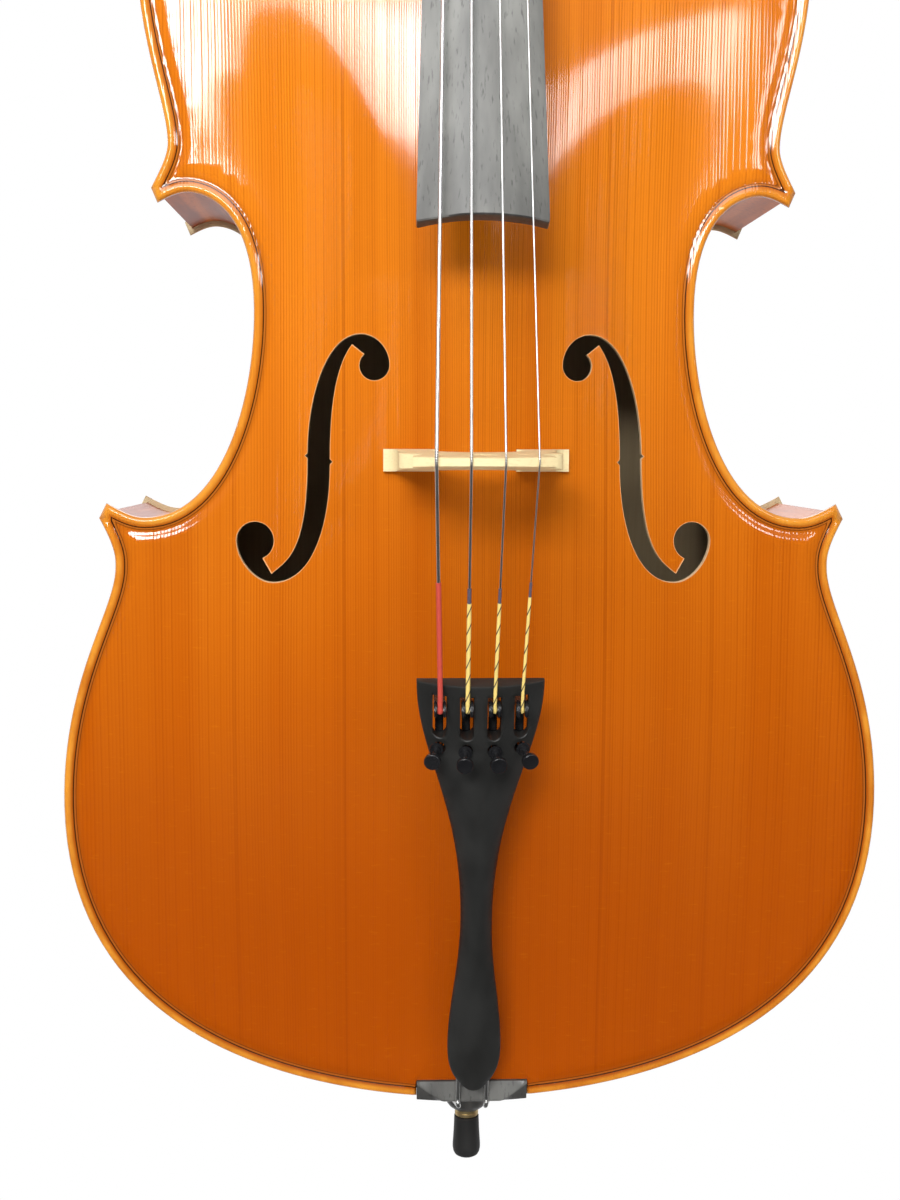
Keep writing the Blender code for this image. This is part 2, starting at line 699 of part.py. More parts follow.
def make_back():
    """Back: plain edge with the round button that the heel is glued to."""
    reach = BODY_LENGTH + BUTTON_HEIGHT - BUTTON_HALF
    button = arc((0, reach), BUTTON_HALF, 0, 180, 10)
    loop = plate_loop(BUTTON_HALF, button)
    return make_plate("back_plate", MAPLE, loop, [], BACK_ARCH, BACK_THICK, BACK, 1)


# Ribs, linings and blocks
RIB_OUT = OVERHANG
RIB_IN = OVERHANG + RIB_THICK
LINING_OUT = RIB_IN + GLUE_GAP
LINING_IN = LINING_OUT + LINING_THICK


def side_pieces():
    """For each bout: its plan curve, and where its rib and its linings start and end along it."""
    lower_end = lengths(LOWER_CURVE)[-1]
    waist_end = lengths(WAIST_CURVE)[-1]
    upper_end = length_at_x(UPPER_CURVE, TENON_HALF + GLUE_GAP)
    reach = OVERHANG + CORNER_BLOCK_REACH + FIT_GAP
    block_clear = LINING_THICK + FIT_GAP
    end_block = length_at_x(LOWER_CURVE, END_BLOCK_HALF + block_clear)
    neck_block = length_at_x(UPPER_CURVE, NECK_BLOCK_HALF + block_clear)
    return (("lower", LOWER_CURVE, (GLUE_GAP, lower_end - OVERHANG), (end_block, lower_end - reach)),
            ("waist", WAIST_CURVE, (OVERHANG, waist_end - OVERHANG), (reach, waist_end - reach)),
            ("upper", UPPER_CURVE, (OVERHANG, upper_end), (reach, neck_block)))


def make_sides():
    """Six bent ribs, and the linings that widen their glue faces at the belly and the back."""
    ribs = {}
    for bout, curve, rib_span, lining_span in side_pieces():
        for side, flip in (("left", True), ("right", False)):
            def plan(span, distance):
                shape = inset(portion(curve, *span), distance)
                return mirrored(shape) if flip else shape
            body = strip(plan(rib_span, RIB_OUT), plan(rib_span, RIB_IN), FRONT, BACK)
            ribs[bout, side] = finish(f"rib_{bout}_{side}", body, MAPLE)
            outer = plan(lining_span, LINING_OUT)
            inner = plan(lining_span, LINING_IN)
            for face, low in (("front", FRONT), ("back", BACK - LINING_HEIGHT)):
                body = strip(outer, inner, low, low + LINING_HEIGHT)
                finish(f"lining_{bout}_{side}_{face}", body, BARE_SPRUCE)
    return ribs


def make_blocks():
    """Four corner blocks, the end block under the endpin and the neck block with its mortise."""
    def seat(curve, start, end):
        return inset(portion(curve, start, end), LINING_OUT)
    span = (OVERHANG, OVERHANG + CORNER_BLOCK_REACH)
    lower_end = lengths(LOWER_CURVE)[-1]
    waist_end = lengths(WAIST_CURVE)[-1]
    corners = {"lower": np.vstack([seat(LOWER_CURVE, lower_end - span[1], lower_end - span[0]),
                                   seat(WAIST_CURVE, *span)]),
               "upper": np.vstack([seat(WAIST_CURVE, waist_end - span[1], waist_end - span[0]),
                                   seat(UPPER_CURVE, *span)])}
    for place, plan in corners.items():
        for side, shape in (("left", mirrored(plan)), ("right", plan)):
            finish(f"corner_block_{place}_{side}", prism(shape, FRONT, BACK), BARE_SPRUCE)
    low = inset(portion(LOWER_CURVE, 0, length_at_x(LOWER_CURVE, END_BLOCK_HALF)), LINING_OUT)
    plan = np.vstack([mirrored(low[1:])[::-1], low, [(END_BLOCK_HALF, END_BLOCK_DEPTH),
                                                     (-END_BLOCK_HALF, END_BLOCK_DEPTH)]])
    end_block = finish("end_block", prism(plan, FRONT, BACK), BARE_SPRUCE)
    half = TENON_HALF + GLUE_GAP
    high = inset(portion(UPPER_CURVE, length_at_x(UPPER_CURVE, NECK_BLOCK_HALF),
                         length_at_x(UPPER_CURVE, half)), LINING_OUT)
    mortise = BODY_LENGTH - TENON_DEPTH - GLUE_GAP
    floor = BODY_LENGTH - NECK_BLOCK_DEPTH
    plan = np.vstack([high, [(half, mortise), (-half, mortise)], mirrored(high)[::-1],
                      [(-NECK_BLOCK_HALF, floor), (NECK_BLOCK_HALF, floor)]])
    finish("neck_block", prism(plan, FRONT, BACK), BARE_SPRUCE)
    return end_block


def surface_finder(obj):
    """Depth of a plate's outer or inner face along a line at (x, z)."""
    tree = BVHTree.FromPolygons([v.co for v in obj.data.vertices], [p.vertices for p in obj.data.polygons])

    def depth(x, z, start, direction):
        spot = tree.ray_cast(Vector((x, start, z)), Vector((0, direction, 0)))[0]
        return spot.y
    return depth


def make_bass_bar(belly):
    """Tapered bar under the bass foot of the bridge, fitted to the belly between the two blocks."""
    foot = END_BLOCK_DEPTH + BASS_BAR_FOOT_CLEAR
    head = BODY_LENGTH - NECK_BLOCK_DEPTH - BASS_BAR_HEAD_CLEAR
    rings = []
    for share in np.linspace(0, 1, 13):
        z = foot + share * (head - foot)
        tall = BASS_BAR_END_HEIGHT + (BASS_BAR_HEIGHT - BASS_BAR_END_HEIGHT) * math.sin(math.pi * share)
        sides = (BASS_BAR_X - BASS_BAR_WIDTH / 2, BASS_BAR_X + BASS_BAR_WIDTH / 2)
        front = [belly(x, z, 0, -1) + FIT_GAP for x in sides]
        rings.append([(sides[0], front[0], z), (sides[1], front[1], z),
                      (sides[1], front[1] + tall, z), (sides[0], front[0] + tall, z)])
    finish("bass_bar", loft(rings), BARE_SPRUCE)


def make_sound_post(belly, back):
    """Loose dowel wedged between belly and back behind the treble foot of the bridge."""
    angles = [2 * math.pi * k / 16 for k in range(16)]
    spots = [(POST_X + POST_RADIUS * math.cos(a), BRIDGE_Z - POST_DROP + POST_RADIUS * math.sin(a))
             for a in angles]
    front = [(x, belly(x, z, 0, -1) + FIT_GAP, z) for x, z in spots]
    rear = [(x, back(x, z, 0, 1) - FIT_GAP, z) for x, z in spots]
    finish("sound_post", loft([front, rear]), BARE_SPRUCE)


# Neck, fingerboard, pegbox and scroll
GLUE_Y = FRONT - EDGE_THICK - OVERSTAND
BRIDGE_TOP_Y = FRONT - TOP_ARCH - BRIDGE_HEIGHT


def board_half(z):
    share = (NUT_Z - z) / (NUT_Z - BOARD_END_Z)
    return BOARD_HALF_NUT + share * (BOARD_HALF_END - BOARD_HALF_NUT)


def board_crown(half):
    return BOARD_EDGE + BOARD_RADIUS - math.sqrt(BOARD_RADIUS ** 2 - half ** 2)


def board_slope():
    """Slope of the glue plane that brings the board's crown to its projection at the bridge."""
    end_z = NUT_Z - BOARD_LENGTH
    share = (NUT_Z - BODY_LENGTH) / BOARD_LENGTH
    half_body = BOARD_HALF_NUT + share * (BOARD_HALF_END - BOARD_HALF_NUT)
    crown_body = GLUE_Y - board_crown(half_body)
    crown_bridge = FRONT - TOP_ARCH - PROJECTION
    crown_end = crown_body + (crown_bridge - crown_body) * (BODY_LENGTH - end_z) / (BODY_LENGTH - BRIDGE_Z)
    return (GLUE_Y - crown_end - board_crown(BOARD_HALF_END)) / (BODY_LENGTH - end_z)


BOARD_SLOPE = board_slope()
BOARD_END_Z = NUT_Z - BOARD_LENGTH * math.cos(math.atan(BOARD_SLOPE))


def glue_y(z):
    """Depth of the plane between neck and fingerboard at a height."""
    return GLUE_Y + (z - BODY_LENGTH) * BOARD_SLOPE


def neck_ring(z, half, back_y, end_half, power=1.0):
    """Section of the neck: flat under the fingerboard, round or blunt at the back."""
    front = glue_y(z)
    right = []
    for angle in np.radians(np.linspace(0, 90, 7)):
        x = end_half + (half - end_half) * math.cos(angle) ** power
        right.append((x, front + (back_y - front) * math.sin(angle) ** power, z))
    left = [(-x, y, z) for x, y, z in reversed(right)]
    return right + (left if end_half > 0 else left[1:] + [left[-1]])


def heel_end_half(rise):
    """Half width of the heel where it lies on the button, which is round at its end."""
    straight = BUTTON_HEIGHT - BUTTON_HALF
    over = max(0.0, rise - straight)
    return math.sqrt(max(0.0, BUTTON_HALF ** 2 - over ** 2))


def make_neck_shaft():
    """Neck root, heel and handle as one skin over sections stacked along the neck."""
    root = BACK - GLUE_GAP
    shoulder = BODY_LENGTH + GLUE_GAP
    rings = []
    for z in (BODY_LENGTH - TENON_DEPTH, shoulder):
        ring = neck_ring(z, TENON_HALF, root, TENON_HALF - NECK_SEAM, TENON_ROUND)
        rings.append(ring)
    for share in (0, 0.35, 0.7, 0.96):
        rise = share * BUTTON_HEIGHT
        z = shoulder + SHOULDER_EASE + rise
        rings.append(neck_ring(z, NECK_HALF_BODY, root, heel_end_half(rise), HEEL_ROUND))
    top = BODY_LENGTH + HEEL_RISE
    for share in (0.03, 0.08, 0.15, 0.25, 0.4, 0.6, 1.0):
        z = BODY_LENGTH + BUTTON_HEIGHT + share * (HEEL_RISE - BUTTON_HEIGHT)
        neck_back = glue_y(z) + NECK_DEPTH_BODY
        back_y = neck_back + (root - neck_back) * (1 - share) ** HEEL_POWER
        rings.append(neck_ring(z, NECK_HALF_BODY, back_y, NECK_SEAM, HEEL_ROUND + (1 - HEEL_ROUND) * share))
    for share in (0.33, 0.66, 1.0):
        z = top + share * (NUT_Z + NUT_LENGTH - top)
        half = NECK_HALF_BODY + share * (NECK_HALF_NUT - NECK_HALF_BODY)
        depth = NECK_DEPTH_BODY + share * (NECK_DEPTH_NUT - NECK_DEPTH_BODY)
        rings.append(neck_ring(z, half, glue_y(z) + depth, NECK_SEAM))
    return finish("neck", loft(rings), MAPLE)


PEGBOX_Z = NUT_Z + NUT_LENGTH


def pegbox_front(z):
    return glue_y(PEGBOX_Z) + (z - PEGBOX_Z) * math.tan(PEGBOX_LEAN)


def pegbox_share(z):
    return (z - PEGBOX_Z) / PEGBOX_LENGTH


def pegbox_half(z):
    return PEGBOX_HALF_NUT + pegbox_share(z) * (PEGBOX_HALF_TOP - PEGBOX_HALF_NUT)


def pegbox_depth(z):
    return PEGBOX_DEPTH_NUT + pegbox_share(z) * (PEGBOX_DEPTH_TOP - PEGBOX_DEPTH_NUT)


def pegbox_wall(z):
    return PEGBOX_WALL_NUT + pegbox_share(z) * (PEGBOX_WALL_TOP - PEGBOX_WALL_NUT)


def box_ring(z, half, front, back, corner):
    """Section of the pegbox with its two rear corners rounded off."""
    right = [(half, front, z), (half, back - 2 * corner, z), (half - 0.6 * corner, back - 0.6 * corner, z),
             (half - 2 * corner, back, z)]
    return right + [(-x, y, z) for x, y, z in reversed(right)]


def make_pegbox():
    """Tapered box that leans back from the nut, before its trough and peg holes are cut."""
    rings = []
    low_half = NECK_HALF_NUT - PEGBOX_CORNER
    low_depth = NECK_DEPTH_NUT - PEGBOX_CORNER
    for angle in np.radians((0, 22, 45, 68)):
        z = PEGBOX_Z - PEGBOX_CHIN * math.cos(angle)
        half = low_half + (PEGBOX_HALF_NUT - low_half) * math.sin(angle)
        depth = low_depth + (PEGBOX_DEPTH_NUT - low_depth) * math.sin(angle)
        rings.append(box_ring(z, half, glue_y(z) + GLUE_GAP, glue_y(z) + depth, PEGBOX_CORNER))
    top = PEGBOX_Z + PEGBOX_LENGTH
    for z in np.linspace(PEGBOX_Z, top - SCROLL_OVERLAP, 5):
        front = pegbox_front(z)
        rings.append(box_ring(z, pegbox_half(z), front, front + pegbox_depth(z), PEGBOX_CORNER))
    front = pegbox_front(top)
    back = front + pegbox_depth(top) - PEGBOX_END_TUCK
    rings.append(box_ring(top, pegbox_half(top), front, back, PEGBOX_CORNER))
    return finish("pegbox_body", loft(rings), MAPLE)


def make_pegbox_trough():
    """Space between the pegbox walls, open to the front."""
    rings = []
    for share in (TROUGH_START, (TROUGH_START + TROUGH_END) / 2, TROUGH_END):
        z = PEGBOX_Z + share * PEGBOX_LENGTH
        half = pegbox_half(z) - pegbox_wall(z)
        front = pegbox_front(z)
        floor = front + pegbox_depth(z) - PEGBOX_FLOOR
        open_front = front - CUT_OVER
        rings.append([(half, open_front, z), (half, floor, z), (-half, floor, z), (-half, open_front, z)])
    return finish("pegbox_trough", loft(rings), MAPLE)


def make_scroll():
    """Volute of two turns; each turn narrows in side view and stands further out than the last."""
    steps = SCROLL_STEPS
    total = steps * SCROLL_TURNS
    shrink = math.log(SCROLL_RADIUS / SCROLL_EYE) / total
    foot_z = PEGBOX_Z + PEGBOX_LENGTH - SCROLL_OVERLAP
    rear = pegbox_front(foot_z) + pegbox_depth(foot_z) - SCROLL_TUCK
    back_lean = math.atan(math.tan(PEGBOX_LEAN) + (PEGBOX_DEPTH_TOP - PEGBOX_DEPTH_NUT) / PEGBOX_LENGTH)
    start = -back_lean - math.atan(shrink * steps / (2 * math.pi))
    centre_y = rear - SCROLL_RADIUS * math.cos(start)
    centre_z = foot_z - SCROLL_RADIUS * math.sin(start)
    half_start = pegbox_half(foot_z) - SCROLL_TUCK

    def radius(i):
        return SCROLL_RADIUS * math.exp(-shrink * i)

    def half(i):
        return half_start + (SCROLL_HALF_EYE - half_start) * (i / total) ** SCROLL_FLARE

    def spot(i, r, x):
        angle = start + 2 * math.pi * i / steps
        return (x, centre_y + r * math.cos(angle), centre_z + r * math.sin(angle))

    bm = bmesh.new()
    edge = {}
    foot = {}
    eye = {}
    for side in (1, -1):
        for i in range(total + 1):
            edge[i, side] = bm.verts.new(spot(i, radius(i), side * half(i)))
        for i in range(total):
            foot[i, side] = bm.verts.new(spot(i, radius(min(i + steps, total)), side * half(i)))
        foot[total, side] = edge[total, side]
        for i in range(total - steps, total):
            eye[i, side] = bm.verts.new(spot(i, radius(total), side * half(total)))
        bm.verts.ensure_lookup_table()
        bm.verts.remove(eye[total - steps, side])
        eye[total - steps, side] = edge[total, side]
        eye[total, side] = edge[total, side]

    def face(*corners):
        unique = list(dict.fromkeys(corners))
        if len(unique) > 2:
            bm.faces.new(unique)

    for side in (1, -1):
        for i in range(total):
            face(edge[i, side], edge[i + 1, side], foot[i + 1, side], foot[i, side])
        for i in range(steps, total):
            face(foot[i - steps, side], foot[i - steps + 1, side], edge[i + 1, side], edge[i, side])
        for i in range(total - steps, total):
            face(foot[i, side], foot[i + 1, side], eye[i + 1, side], eye[i, side])
        face(*[eye[i, side] for i in range(total - steps, total)])
    for i in range(steps - 1):
        face(edge[i, 1], edge[i + 1, 1], edge[i + 1, -1], edge[i, -1])
    face(edge[steps - 1, 1], edge[steps, 1], foot[0, 1], foot[0, -1], edge[steps, -1], edge[steps - 1, -1])
    face(edge[0, 1], foot[0, 1], foot[0, -1], edge[0, -1])
    return finish("scroll_body", bm, MAPLE)


def peg_spot(index):
    """Centre of a peg hole in the middle plane of the pegbox."""
    z = PEGBOX_Z + PEG_HEIGHTS[index]
    return Vector((0, pegbox_front(z) + PEG_DEPTH_IN, z))


def peg_radius(side, x):
    """Taper of a peg: thickest at the wall on its head's side."""
    return PEG_RADIUS + side * x * PEG_TAPER / 2


def make_neck():
    neck = make_neck_shaft()
    cut(neck, make_pegbox(), "UNION")
    cut(neck, make_scroll(), "UNION")
    cut(neck, make_pegbox_trough())
    grow = 1 / math.cos(math.pi / PEG_SIDES_COUNT)
    for index, side in enumerate(PEG_SIDES):
        reach = PEGBOX_HALF_NUT + CUT_OVER
        ends = [(x, (peg_radius(side, x) + TURN_GAP) * grow) for x in (-reach, reach)]
        profile = [(0, ends[0][0]), (ends[0][1], ends[0][0]), (ends[1][1], ends[1][0]), (0, ends[1][0])]
        bore = turned(profile, PEG_SIDES_COUNT, "X", peg_spot(index))
        cut(neck, finish(f"peg_bore_{STRING_NAMES[index]}", bore, MAPLE))
    return neck


def make_peg(index):
    """Tapered peg with a turned collar and a flat oval head."""
    side = PEG_SIDES[index]
    spot = peg_spot(index)
    wall = pegbox_half(spot.z)
    far = -(wall + PEG_POINT)
    collar = wall + PEG_COLLAR_CLEAR
    neck = collar + PEG_NECK_LENGTH
    stations = [(far, peg_radius(1, far), 1.0), (collar, peg_radius(1, collar), 1.0),
                (collar, PEG_COLLAR, 1.0), (collar + PEG_COLLAR_LENGTH, PEG_COLLAR, 1.0),
                (neck, PEG_NECK_RADIUS, 1.0)]
    for share in (0.15, 0.35, 0.6, 0.82, 0.95):
        width = PEG_HEAD_HALF * math.sqrt(1 - (2 * share - 1) ** 2) + PEG_HEAD_EASE
        stations.append((neck + share * PEG_HEAD_LENGTH, width, PEG_HEAD_THICK / 2 / width))
    stations.append((neck + PEG_HEAD_LENGTH, PEG_BUTTON, 1.0))
    rings = []
    for x, radius, squash in stations:
        ring = []
        for k in range(PEG_SIDES_COUNT):
            angle = 2 * math.pi * (k + 0.5) / PEG_SIDES_COUNT
            ring.append((side * x, spot.y + radius * math.cos(angle) * min(1, squash),
                         spot.z + radius * math.sin(angle)))
        rings.append(ring)
    peg = finish(f"peg_{STRING_NAMES[index]}", loft(rings), EBONY, spot)
    hole = (STRING_RADII[index] + TURN_GAP) / math.cos(math.pi / HOLE_SIDES)
    reach = PEG_RADIUS + CUT_OVER
    profile = [(0, -reach), (hole, -reach), (hole, reach), (0, reach)]
    place = spot + Vector((coil_end_x(index), 0, coil_bend(index)))
    cut(peg, finish(f"string_hole_{STRING_NAMES[index]}", turned(profile, HOLE_SIDES, "Y", place), EBONY))


# Strings
def nut_spot(index):
    x = (index - 1.5) * STRING_SPACING_NUT
    crown = board_crown(BOARD_HALF_NUT) - (BOARD_RADIUS - math.sqrt(BOARD_RADIUS ** 2 - x ** 2))
    y = glue_y(NUT_Z) - crown - NUT_RAISE - GLUE_GAP - STRING_RADII[index]
    return Vector((x, y, NUT_Z + NUT_LENGTH / 2))


def bridge_crown(x):
    """Depth of the bridge's top edge across its width."""
    drop = BRIDGE_TOP_RADIUS - math.sqrt(BRIDGE_TOP_RADIUS ** 2 - x ** 2)
    return BRIDGE_TOP_Y + drop


def bridge_spot(index):
    x = (index - 1.5) * STRING_SPACING_BRIDGE + STRING_CENTRE_BRIDGE
    lift = GLUE_GAP + BRIDGE_TOP_THICK / 2 * math.tan(TAIL_TILT)
    return Vector((x, bridge_crown(x) - lift - STRING_RADII[index], BRIDGE_Z))


def coil_x(index):
    """Middle of a winding on its peg, measured across the pegbox."""
    return nut_spot(index).x * COIL_GATHER


def coil_radius(index):
    return peg_radius(1, pegbox_half(peg_spot(index).z)) + TURN_GAP + STRING_RADII[index]


def coil_pitch(index):
    return 2 * STRING_RADII[index] + COIL_LEAST_GAP


def coil_end_x(index):
    """Where a winding leaves its last loop and enters the hole in its peg."""
    return coil_x(index) + PEG_SIDES[index] * coil_pitch(index) * COIL_LOOPS / 2


def coil_start_x(index):
    return 2 * coil_x(index) - coil_end_x(index)


def coil_bend(index):
    """Radius of the bend that leads a winding from its last loop into its peg."""
    return 2 * STRING_RADII[index]


def make_coil(index):
    """Winding on a peg: straight lead, unbroken loops, then a bend and a straight end in the peg's hole."""
    spot = peg_spot(index)
    radius = coil_radius(index)
    straight = 2 * STRING_RADII[index]
    bend = coil_bend(index)
    points = [spot + Vector((coil_start_x(index), -radius, -straight))]
    for k in range(COIL_LOOPS * COIL_POINTS + 1):
        angle = 2 * math.pi * k / COIL_POINTS
        x = coil_start_x(index) + PEG_SIDES[index] * coil_pitch(index) * k / COIL_POINTS
        points.append(spot + Vector((x, -radius * math.cos(angle), radius * math.sin(angle))))
    last = points[-1]
    for step in range(1, COIL_BEND_STEPS + 1):
        angle = math.pi / 2 * step / COIL_BEND_STEPS
        points.append(last + bend * Vector((0, 1 - math.cos(angle), math.sin(angle))))
    points.append(points[-1] + Vector((0, straight, 0)))
    path = np.array([tuple(p) for p in points])
    apart = np.linalg.norm(path[:, None] - path[None], axis=2)
    order = np.abs(np.arange(len(path))[:, None] - np.arange(len(path))[None])
    least = apart[order > COIL_POINTS // 2].min() - 2 * STRING_RADII[index]
    print(f"winding_{STRING_NAMES[index]}: least gap to itself {least * 1000:.2f} mm")
    tube(f"winding_{STRING_NAMES[index]}", points, STRING_RADII[index], STEEL, 1, spot)


def make_string(index):
    """A string from its tuner fork over the fret, bridge and nut to just short of its winding."""
    radius = STRING_RADII[index]
    nut = nut_spot(index)
    bridge = bridge_spot(index)
    fork = tail_spot(tuner_x(index), LEVER_AT - STRING_END_SHORT, GLUE_GAP + radius)
    fret = tail_spot(tuner_x(index), TAIL_FRET_AT, GLUE_GAP + radius)
    spot = peg_spot(index)
    winding = coil_radius(index)
    touch = spot + Vector((coil_start_x(index), -winding, 0))
    swept = math.hypot(winding + radius, 2 * radius)
    clear = math.sqrt((swept + FIT_GAP) ** 2 - (winding - radius) ** 2) + radius
    run = touch - nut
    stop = touch - run.normalized() * clear
    points = [fork, fret, bridge, nut, stop]
    tube(f"string_{STRING_NAMES[index]}", points, radius, STEEL)


# Fingerboard and nut
def board_ring(z):
    """Section of the fingerboard: round crown, flat under the bass string, hollow past the neck."""
    half = board_half(z)
    base = glue_y(z) - GLUE_GAP
    crown = board_crown(half)
    ridge = -half * BOARD_FLAT_SHARE

    def top(x):
        return crown - (BOARD_RADIUS - math.sqrt(BOARD_RADIUS ** 2 - x ** 2))
    xs = [-half, ridge] + list(np.linspace(ridge, half, 7)[1:])
    upper = [(x, base - top(x), z) for x in xs]
    free = np.clip((BODY_LENGTH - TENON_DEPTH - z) / BOARD_HOLLOW_RUN, 0, 1)
    lower = []
    for share in (0.8, 0.4, 0, -0.4, -0.8):
        hollow = BOARD_HOLLOW * free * (1 - share ** 2)
        lower.append((half * share, base - hollow, z))
    return upper + [(half, base, z)] + lower + [(-half, base, z)]


def make_board():
    neck_foot = BODY_LENGTH - TENON_DEPTH
    free = np.linspace(BOARD_END_Z, neck_foot - BOARD_HOLLOW_RUN, 3)
    glued = np.linspace(neck_foot, NUT_Z - GLUE_GAP, 4)
    heights = [*free, *glued]
    finish("fingerboard", loft([board_ring(z) for z in heights]), EBONY)


def make_nut():
    """Small ebony block that spaces the strings at the head of the fingerboard."""
    rings = []
    for share, raise_by in ((0, NUT_RAISE), (0.5, NUT_RAISE), (1, -NUT_FALL)):
        z = NUT_Z + share * NUT_LENGTH
        base = glue_y(z) - GLUE_GAP
        crown = board_crown(BOARD_HALF_NUT) + raise_by
        xs = np.linspace(-BOARD_HALF_NUT, BOARD_HALF_NUT, 7)
        ring = [(x, base - crown + (BOARD_RADIUS - math.sqrt(BOARD_RADIUS ** 2 - x ** 2)), z) for x in xs]
        rings.append(ring + [(BOARD_HALF_NUT, base, z), (-BOARD_HALF_NUT, base, z)])
    finish("nut", loft(rings), EBONY)


# Bridge
def make_bridge(belly):
    """Two legs, waist, wings and a heart cut through one tapered blade of maple."""
    base = np.array((0, TOP_ARCH))

    def foot_height(x):
        return FRONT - belly(x, BRIDGE_Z, BRIDGE_TOP_Y, 1) + FIT_GAP
    foot_xs = np.linspace(BRIDGE_FOOT_INNER, BRIDGE_FOOT_HALF, 5)
    foot = np.array([(x, foot_height(x)) for x in foot_xs])
    outer_toe = foot[-1] + (0, BRIDGE_TOE)
    inner_toe = foot[0] + (0, BRIDGE_INNER_TOE)
    shoulder = (BRIDGE_TOP_HALF, TOP_ARCH + BRIDGE_HEIGHT - BRIDGE_SHOULDER_DROP)
    right = chain(np.vstack([foot, [outer_toe]]),
                  bezier(outer_toe, LEFT, base + BRIDGE_ANKLE, UP, PULL_TOE, 3),
                  bezier(base + BRIDGE_ANKLE, UP, base + BRIDGE_HIP, UP, PULL_LEG, 3),
                  bezier(base + BRIDGE_HIP, UP, base + BRIDGE_WING, UP, PULL_HIP, 2),
                  bezier(base + BRIDGE_WING, UP, base + BRIDGE_WAIST, UP, PULL_WING, 3),
                  bezier(base + BRIDGE_WAIST, UP, shoulder, UP, PULL_BRIDGE_TOP, 3))
    crown_xs = np.linspace(BRIDGE_TOP_HALF, -BRIDGE_TOP_HALF, 9)
    crown = np.array([(x, FRONT - bridge_crown(x)) for x in crown_xs])
    arch = chain(bezier(inner_toe, RIGHT, base + BRIDGE_KNEE, UP, PULL_KNEE, 3),
                 bezier(base + BRIDGE_KNEE, UP, base + (0, BRIDGE_BOW), LEFT, PULL_BOW, 4))
    bow = np.vstack([arch, mirrored(arch[:-1])[::-1]])
    left_half = mirrored(right)[::-1]
    loop = np.vstack([right, crown, left_half, bow[::-1]])
    heart = np.array(BRIDGE_HEART) + base
    heart = np.vstack([heart, mirrored(heart[1:-1])[::-1]])
    eye = arc(base + BRIDGE_EYE, BRIDGE_EYE_RADIUS, 0, 360, 10)[:-1]
    holes = [heart, eye, mirrored(eye)]
    spots, faces = plate_faces(loop, holes, [])

    def half_thick(height):
        share = np.clip((height - TOP_ARCH) / BRIDGE_HEIGHT, 0, 1)
        return (BRIDGE_FOOT_THICK + (BRIDGE_TOP_THICK - BRIDGE_FOOT_THICK) * share ** BRIDGE_TAPER) / 2
    near = [(x, FRONT - h, BRIDGE_Z + half_thick(h)) for x, h in spots]
    far = [(x, FRONT - h, BRIDGE_Z - half_thick(h)) for x, h in spots]
    finish("bridge", shell(spots, faces, near, far), BRIDGE_MAPLE)


# Tailpiece, tuners and tail wire
SADDLE_TOP_Y = FRONT - SADDLE_CREST
STRING_TOP_Y = BRIDGE_TOP_Y
WIRE_UNDER = TAIL_THICK_END + 2 * GLUE_GAP + 2 * WIRE_RADIUS
TAIL_TILT = math.atan2(SADDLE_TOP_Y - WIRE_UNDER - STRING_TOP_Y, BRIDGE_Z)
TAIL_DOWN = Vector((0, math.sin(TAIL_TILT), -math.cos(TAIL_TILT)))
TAIL_OUT = Vector((0, -math.cos(TAIL_TILT), -math.sin(TAIL_TILT)))
TAIL_TOP = Vector((0, STRING_TOP_Y, BRIDGE_Z)) + AFTER_LENGTH * TAIL_DOWN


def tail_spot(x, along, out):
    """A point from the tailpiece's own measures: across, down its length and out of its face."""
    return TAIL_TOP + Vector((x, 0, 0)) + TAIL_DOWN * float(along) + TAIL_OUT * float(out)


def tuner_x(index):
    return (index - 1.5) * TUNER_SPACING


def tail_curve():
    """Right side of the tailpiece from its wide upper end to its round lower end."""
    return chain(
        bezier((TAIL_HALF_TOP, 0), UP, (TAIL_HALF_WAIST, TAIL_WAIST_AT), UP, PULL_TAIL_UPPER, 9),
        bezier((TAIL_HALF_WAIST, TAIL_WAIST_AT), UP, (TAIL_HALF_FLARE, TAIL_FLARE_AT), UP, PULL_TAIL_LOWER, 5),
        bezier((TAIL_HALF_FLARE, TAIL_FLARE_AT), UP, (0, TAIL_LENGTH), LEFT, PULL_TAIL_END, 5))


def tail_thick(along):
    """Thickness at the middle: even under the tuners, thinner towards the lower end."""
    return np.interp(along, (TAIL_THICK_TO, TAIL_LENGTH), (TAIL_THICK, TAIL_THICK_END))


def tail_drop(x, along):
    """How far the arched face falls from its crown towards the sides."""
    curve = tail_curve()
    half = np.interp(along, curve[:, 1], curve[:, 0])
    edge = np.interp(along, (0, TAIL_LENGTH), (TAIL_EDGE_TOP, TAIL_EDGE_END))
    share = np.clip(np.abs(x) / np.maximum(half, TAIL_HALF_WAIST), 0, 1)
    return (tail_thick(along) - edge) * share ** 2


